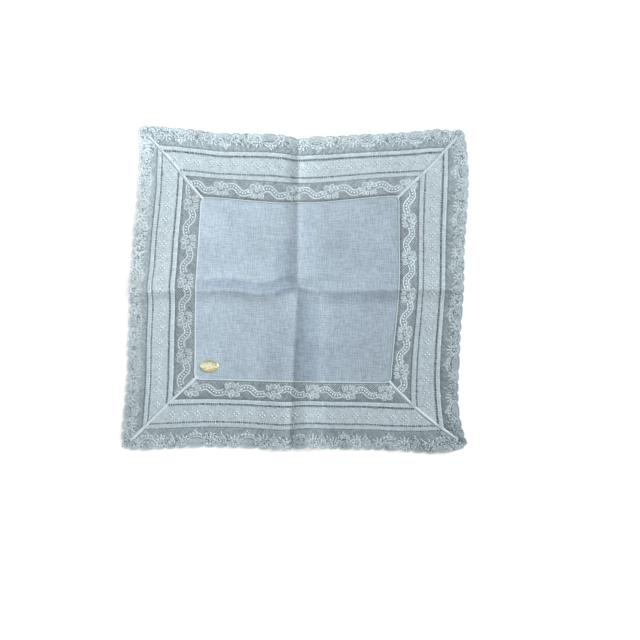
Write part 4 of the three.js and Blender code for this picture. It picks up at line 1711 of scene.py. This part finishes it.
        # Openings are patches of painted shade.
        motifs.patch(self.openings, Form.OVAL, -0.8, 0.2, 9)
        motifs.patch(self.flower_bead, Form.OVAL, 0.9, 0.35, 7)
        motifs.patch(self.flower_leaves, Form.LEAF, 0.85, 0.35)
        motifs.flower(x=11.4, d=4.6, reach=2.4, petals=7, petal=(1.15, 0.8), tone=0.95, start=0.2)
        motifs.patch(self.small_leaves, Form.LEAF, 0.9, 0.4)
        motifs.line(self.ribbed_leaf, 0.42, 0.95)
        for k in range(self.ribs):
            motifs.line(((20.4, 5.2 + self.rib_step * k - 0.9), (25.6, 2.8 + self.rib_step * k)), 0.34, 0.9)
        motifs.patch(self.buds, Form.LEAF, 0.95, 0.4)
        return Shell.joined(motifs.shells + self.border() + [self.filling()])

    def build(self) -> None:
        side, name, net = self.side, self.side.name, Net(self.side, tone=self.net_tone)
        end = CUT.edging - CUT.gap / 2
        line = self.edge(np.linspace(-side.run, side.run, net.places)) + self.net_in
        # The felt under the net is painted shade.
        ground = self.eased(net.ground(line, end + CUT.gap)).along(side)
        ground = piece_from(f"edging_shade_felt_{name}", ground, EDGING_LACE.material())
        work = self.eased(Shell.joined([net.threads(line, end), self.figure()]))
        # Painted shade: the worked threads of this side's outer lace are made darker.
        work.tone = np.where(work.tone > side.painted_side_shade, work.tone - side.painted_side_shade, work.tone)
        lace = piece_from(f"edging_lace_{name}", work.along(side), EDGING_LACE.material())
        declare_strip(side, ground, lace, "lace_edging", "lace", 0.0, end)


@dataclass
class MitreSeam:
    """A whipped seam on one corner's diagonal, from past the panel's corner to its tip.

    across and up are 1 or -1, for the corner. The bed fills the room between the two strips.
    """

    name: str
    across: int
    up: int
    tip: float = CUT.seam_tip
    past: float = 2.4
    pitch: float = 1.5
    width: float = 1.12
    sides: int = 10
    dent: float = 0.13
    rise: float = 0.13
    tone: float = 0.85
    bed: float = 1.7
    bed_height: float = 0.76
    bed_tone: float = 1.0

    def build(self) -> None:
        """Makes the seam: a flat bed, and a low roll dented by every whipping stitch.

        The roll's size is 1 - dent (1 + cos(2 pi along / pitch + angle)) / 2, which winds the dents
        round it as a whipping thread does.
        """
        start = CUT.panel_start + self.past
        steps = int((start - self.tip) * math.sqrt(2) / (self.pitch / 4))
        inset = np.linspace(start, self.tip, steps)
        along = (start - inset) * math.sqrt(2)
        path = np.stack([self.across * (CUT.width / 2 - inset), self.up * (CUT.depth / 2 - inset),
                         np.full(steps, self.bed_height)], 1)[None]
        angle = 2 * math.pi * (np.arange(self.sides) + 0.5) / self.sides
        dent = 1 - self.dent * (0.5 + 0.5 * np.cos(2 * math.pi * along[:, None] / self.pitch + angle))
        section = np.stack([CUT.seam_width / 2 * self.width * dent * np.cos(angle),
                            self.rise * dent * np.sin(angle)], -1)[None]
        bed = sweep(path * (1, 1, 0), flat_section(self.bed, self.bed_height), self.bed_tone)
        seam = Shell.joined([bed, sweep(path, section, self.tone)])
        piece = piece_from(f"whipped_seam_{self.name}", seam, STITCH.material())
        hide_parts(f"mitre_seam_{self.name}")


@dataclass
class FoilLabel:
    """The oval foil label, with a raised rim round a bare middle.

    profile goes from its edge inwards, as shares of its half sizes and heights over base. Its rim has
    painted shade, more at its near side than at its far one, from a share of its half sizes outwards
    and over another, which rim_shade_from gives.
    """

    at: tuple[float, float] = (-77.5, -73.5)
    long: float = 16.6
    wide: float = 11.6
    base: float = 0.75
    crown: float = 0.26
    sides: int = 72
    near_rim_shade: float = 0.9
    far_rim_shade: float = 0.4
    rim_shade_from: tuple[float, float] = (0.6, 0.3)
    profile: Knots = (
        (0.985, 0.0), (1.0, 0.1), (0.99, 0.24), (0.965, 0.33), (0.93, 0.34), (0.905, 0.27),
        (0.88, 0.22), (0.84, 0.22), (0.82, 0.27), (0.80, 0.27), (0.78, 0.22), (0.45, 0.24), (0.15, 0.26),
    )

    def build(self) -> None:
        """Makes the label: its profile turned to an oval, closed above and below."""
        sides = self.sides
        t = 2 * math.pi * np.arange(sides) / sides
        rings = [np.stack([self.at[0] + self.long / 2 * grow * np.cos(t),
                           self.at[1] + self.wide / 2 * grow * np.sin(t),
                           np.full(sides, self.base + rise)], 1) for grow, rise in self.profile]
        middles = np.array([(*self.at, self.base + self.crown), (*self.at, self.base)])
        grow = np.array([grow for grow, _ in self.profile])[:, None]
        # Painted shade on the rim, most at the near side.
        facing = np.where(np.sin(t) < 0, self.near_rim_shade, self.far_rim_shade) * np.abs(np.sin(t))
        start, over = self.rim_shade_from
        dull = np.clip((grow - start) / over, 0, 1) * facing
        tone = np.concatenate([1 - dull.ravel(), [1.0, 1.0]])
        shell = Shell(np.concatenate(rings + [middles]), *dome_faces(sides, len(rings)), tone)
        piece = piece_from("oval_label", shell, FoilFinish().material())
        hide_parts("foil_label")


@dataclass
class Studio:
    """The floor, the lights and the camera.

    The camera's target and distance are in millimetres, and angles are in degrees. The sun stands
    at sun_azimuth from the far side towards the right.
    """

    lens: float = 50.0
    sensor: float = 36.0
    elevation: float = 82.0
    distance: float = 810.0
    target: tuple[float, float] = (19.2, -32.4)
    floor_reach: float = 2.5
    floor_colour: Colour = (0.44, 0.445, 0.45)
    floor_glow: float = 0.62
    floor_roughness: float = 0.9
    floor_specular: float = 0.1
    sun_strength: float = 5.9
    sun_elevation: float = 21.0
    sun_azimuth: float = 62.0
    sun_spread: float = 34.0
    lamp_power: float = 1.7
    lamp_at: Point = (-0.30, 0.30, 0.50)
    lamp_size: float = 0.3
    sky: float = 0.33

    def floor(self) -> None:
        """A plain pale floor at the table's level, bright enough to show white."""
        mesh, reach = bpy.data.meshes.new("floor"), self.floor_reach
        corners = [(-reach, -reach, 0.0), (reach, -reach, 0.0), (reach, reach, 0.0), (-reach, reach, 0.0)]
        mesh.from_pydata(corners, [], [(0, 1, 2, 3)])
        material = bpy.data.materials.new("pale_floor")
        material.use_nodes = True
        g = Graph(material.node_tree)
        shader = g.add("ShaderNodeBsdfPrincipled")
        shader.inputs["Base Color"].default_value = (*self.floor_colour, 1.0)
        shader.inputs["Emission Color"].default_value = (1.0, 1.0, 1.0, 1.0)
        shader.inputs["Emission Strength"].default_value = self.floor_glow
        shader.inputs["Roughness"].default_value = self.floor_roughness
        shader.inputs["Specular IOR Level"].default_value = self.floor_specular
        g.add("ShaderNodeOutputMaterial", shader.outputs[0])
        mesh.materials.append(material)
        floor = bpy.data.objects.new("floor", mesh)
        bpy.context.scene.collection.objects.link(floor)

    def lights(self) -> None:
        """A low wide sun from the far right, a soft lamp over the far left, and an even sky."""
        sun = bpy.data.lights.new("window", "SUN")
        sun.energy = self.sun_strength
        sun.angle = math.radians(self.sun_spread)
        sun_object = bpy.data.objects.new("window", sun)
        up, around = math.radians(self.sun_elevation), math.radians(self.sun_azimuth)
        towards = Vector((math.cos(up) * math.sin(around), math.cos(up) * math.cos(around), math.sin(up)))
        sun_object.rotation_euler = towards.to_track_quat("Z", "Y").to_euler()
        lamp = bpy.data.lights.new("soft_lamp", "AREA")
        lamp.energy = self.lamp_power
        lamp.size = self.lamp_size
        lamp_object = bpy.data.objects.new("soft_lamp", lamp)
        lamp_object.location = self.lamp_at
        lamp_object.rotation_euler = Vector(self.lamp_at).to_track_quat("Z", "Y").to_euler()
        for light in (sun_object, lamp_object):
            bpy.context.scene.collection.objects.link(light)
        world = bpy.data.worlds.new("studio")
        world.use_nodes = True
        g = Graph(world.node_tree)
        sky = g.add("ShaderNodeBackground", (1.0, 1.0, 1.0, 1.0), self.sky)
        g.add("ShaderNodeOutputWorld", sky.outputs[0])
        bpy.context.scene.world = world

    def camera(self) -> None:
        """The camera, nearly overhead, a little to the near side of its target."""
        up = math.radians(self.elevation)
        target = Vector((self.target[0], self.target[1], 0.0)) * MM
        away = Vector((0.0, -math.cos(up), math.sin(up)))
        data = bpy.data.cameras.new("camera")
        data.lens, data.sensor_width = self.lens, self.sensor
        camera = bpy.data.objects.new("camera", data)
        camera.location = target + away * self.distance * MM
        camera.rotation_euler = away.to_track_quat("Z", "Y").to_euler()
        bpy.context.scene.collection.objects.link(camera)
        bpy.context.scene.camera = camera

    def build(self) -> None:
        """Sets the studio up, with colours shown as they are lit."""
        self.floor()
        self.lights()
        self.camera()
        bpy.context.scene.view_settings.view_transform = "Standard"
        bpy.context.scene.view_settings.look = "None"


def main() -> None:
    """Builds the studio and the handkerchief, from the middle of the cloth to its edge."""
    logging.basicConfig(level=logging.INFO, format="%(name)s: %(message)s")
    Studio().build()
    LinenPanel().build()
    for side in SIDES:
        LaceInsertion(side).build()
        LawnBand(side).build()
        LaceEdging(side).build()
    for name, across, up in (("northeast", 1, 1), ("southeast", 1, -1), ("southwest", -1, -1),
                             ("northwest", -1, 1)):
        MitreSeam(name, across, up).build()
    FoilLabel().build()


if __name__ == "__main__":
    main()
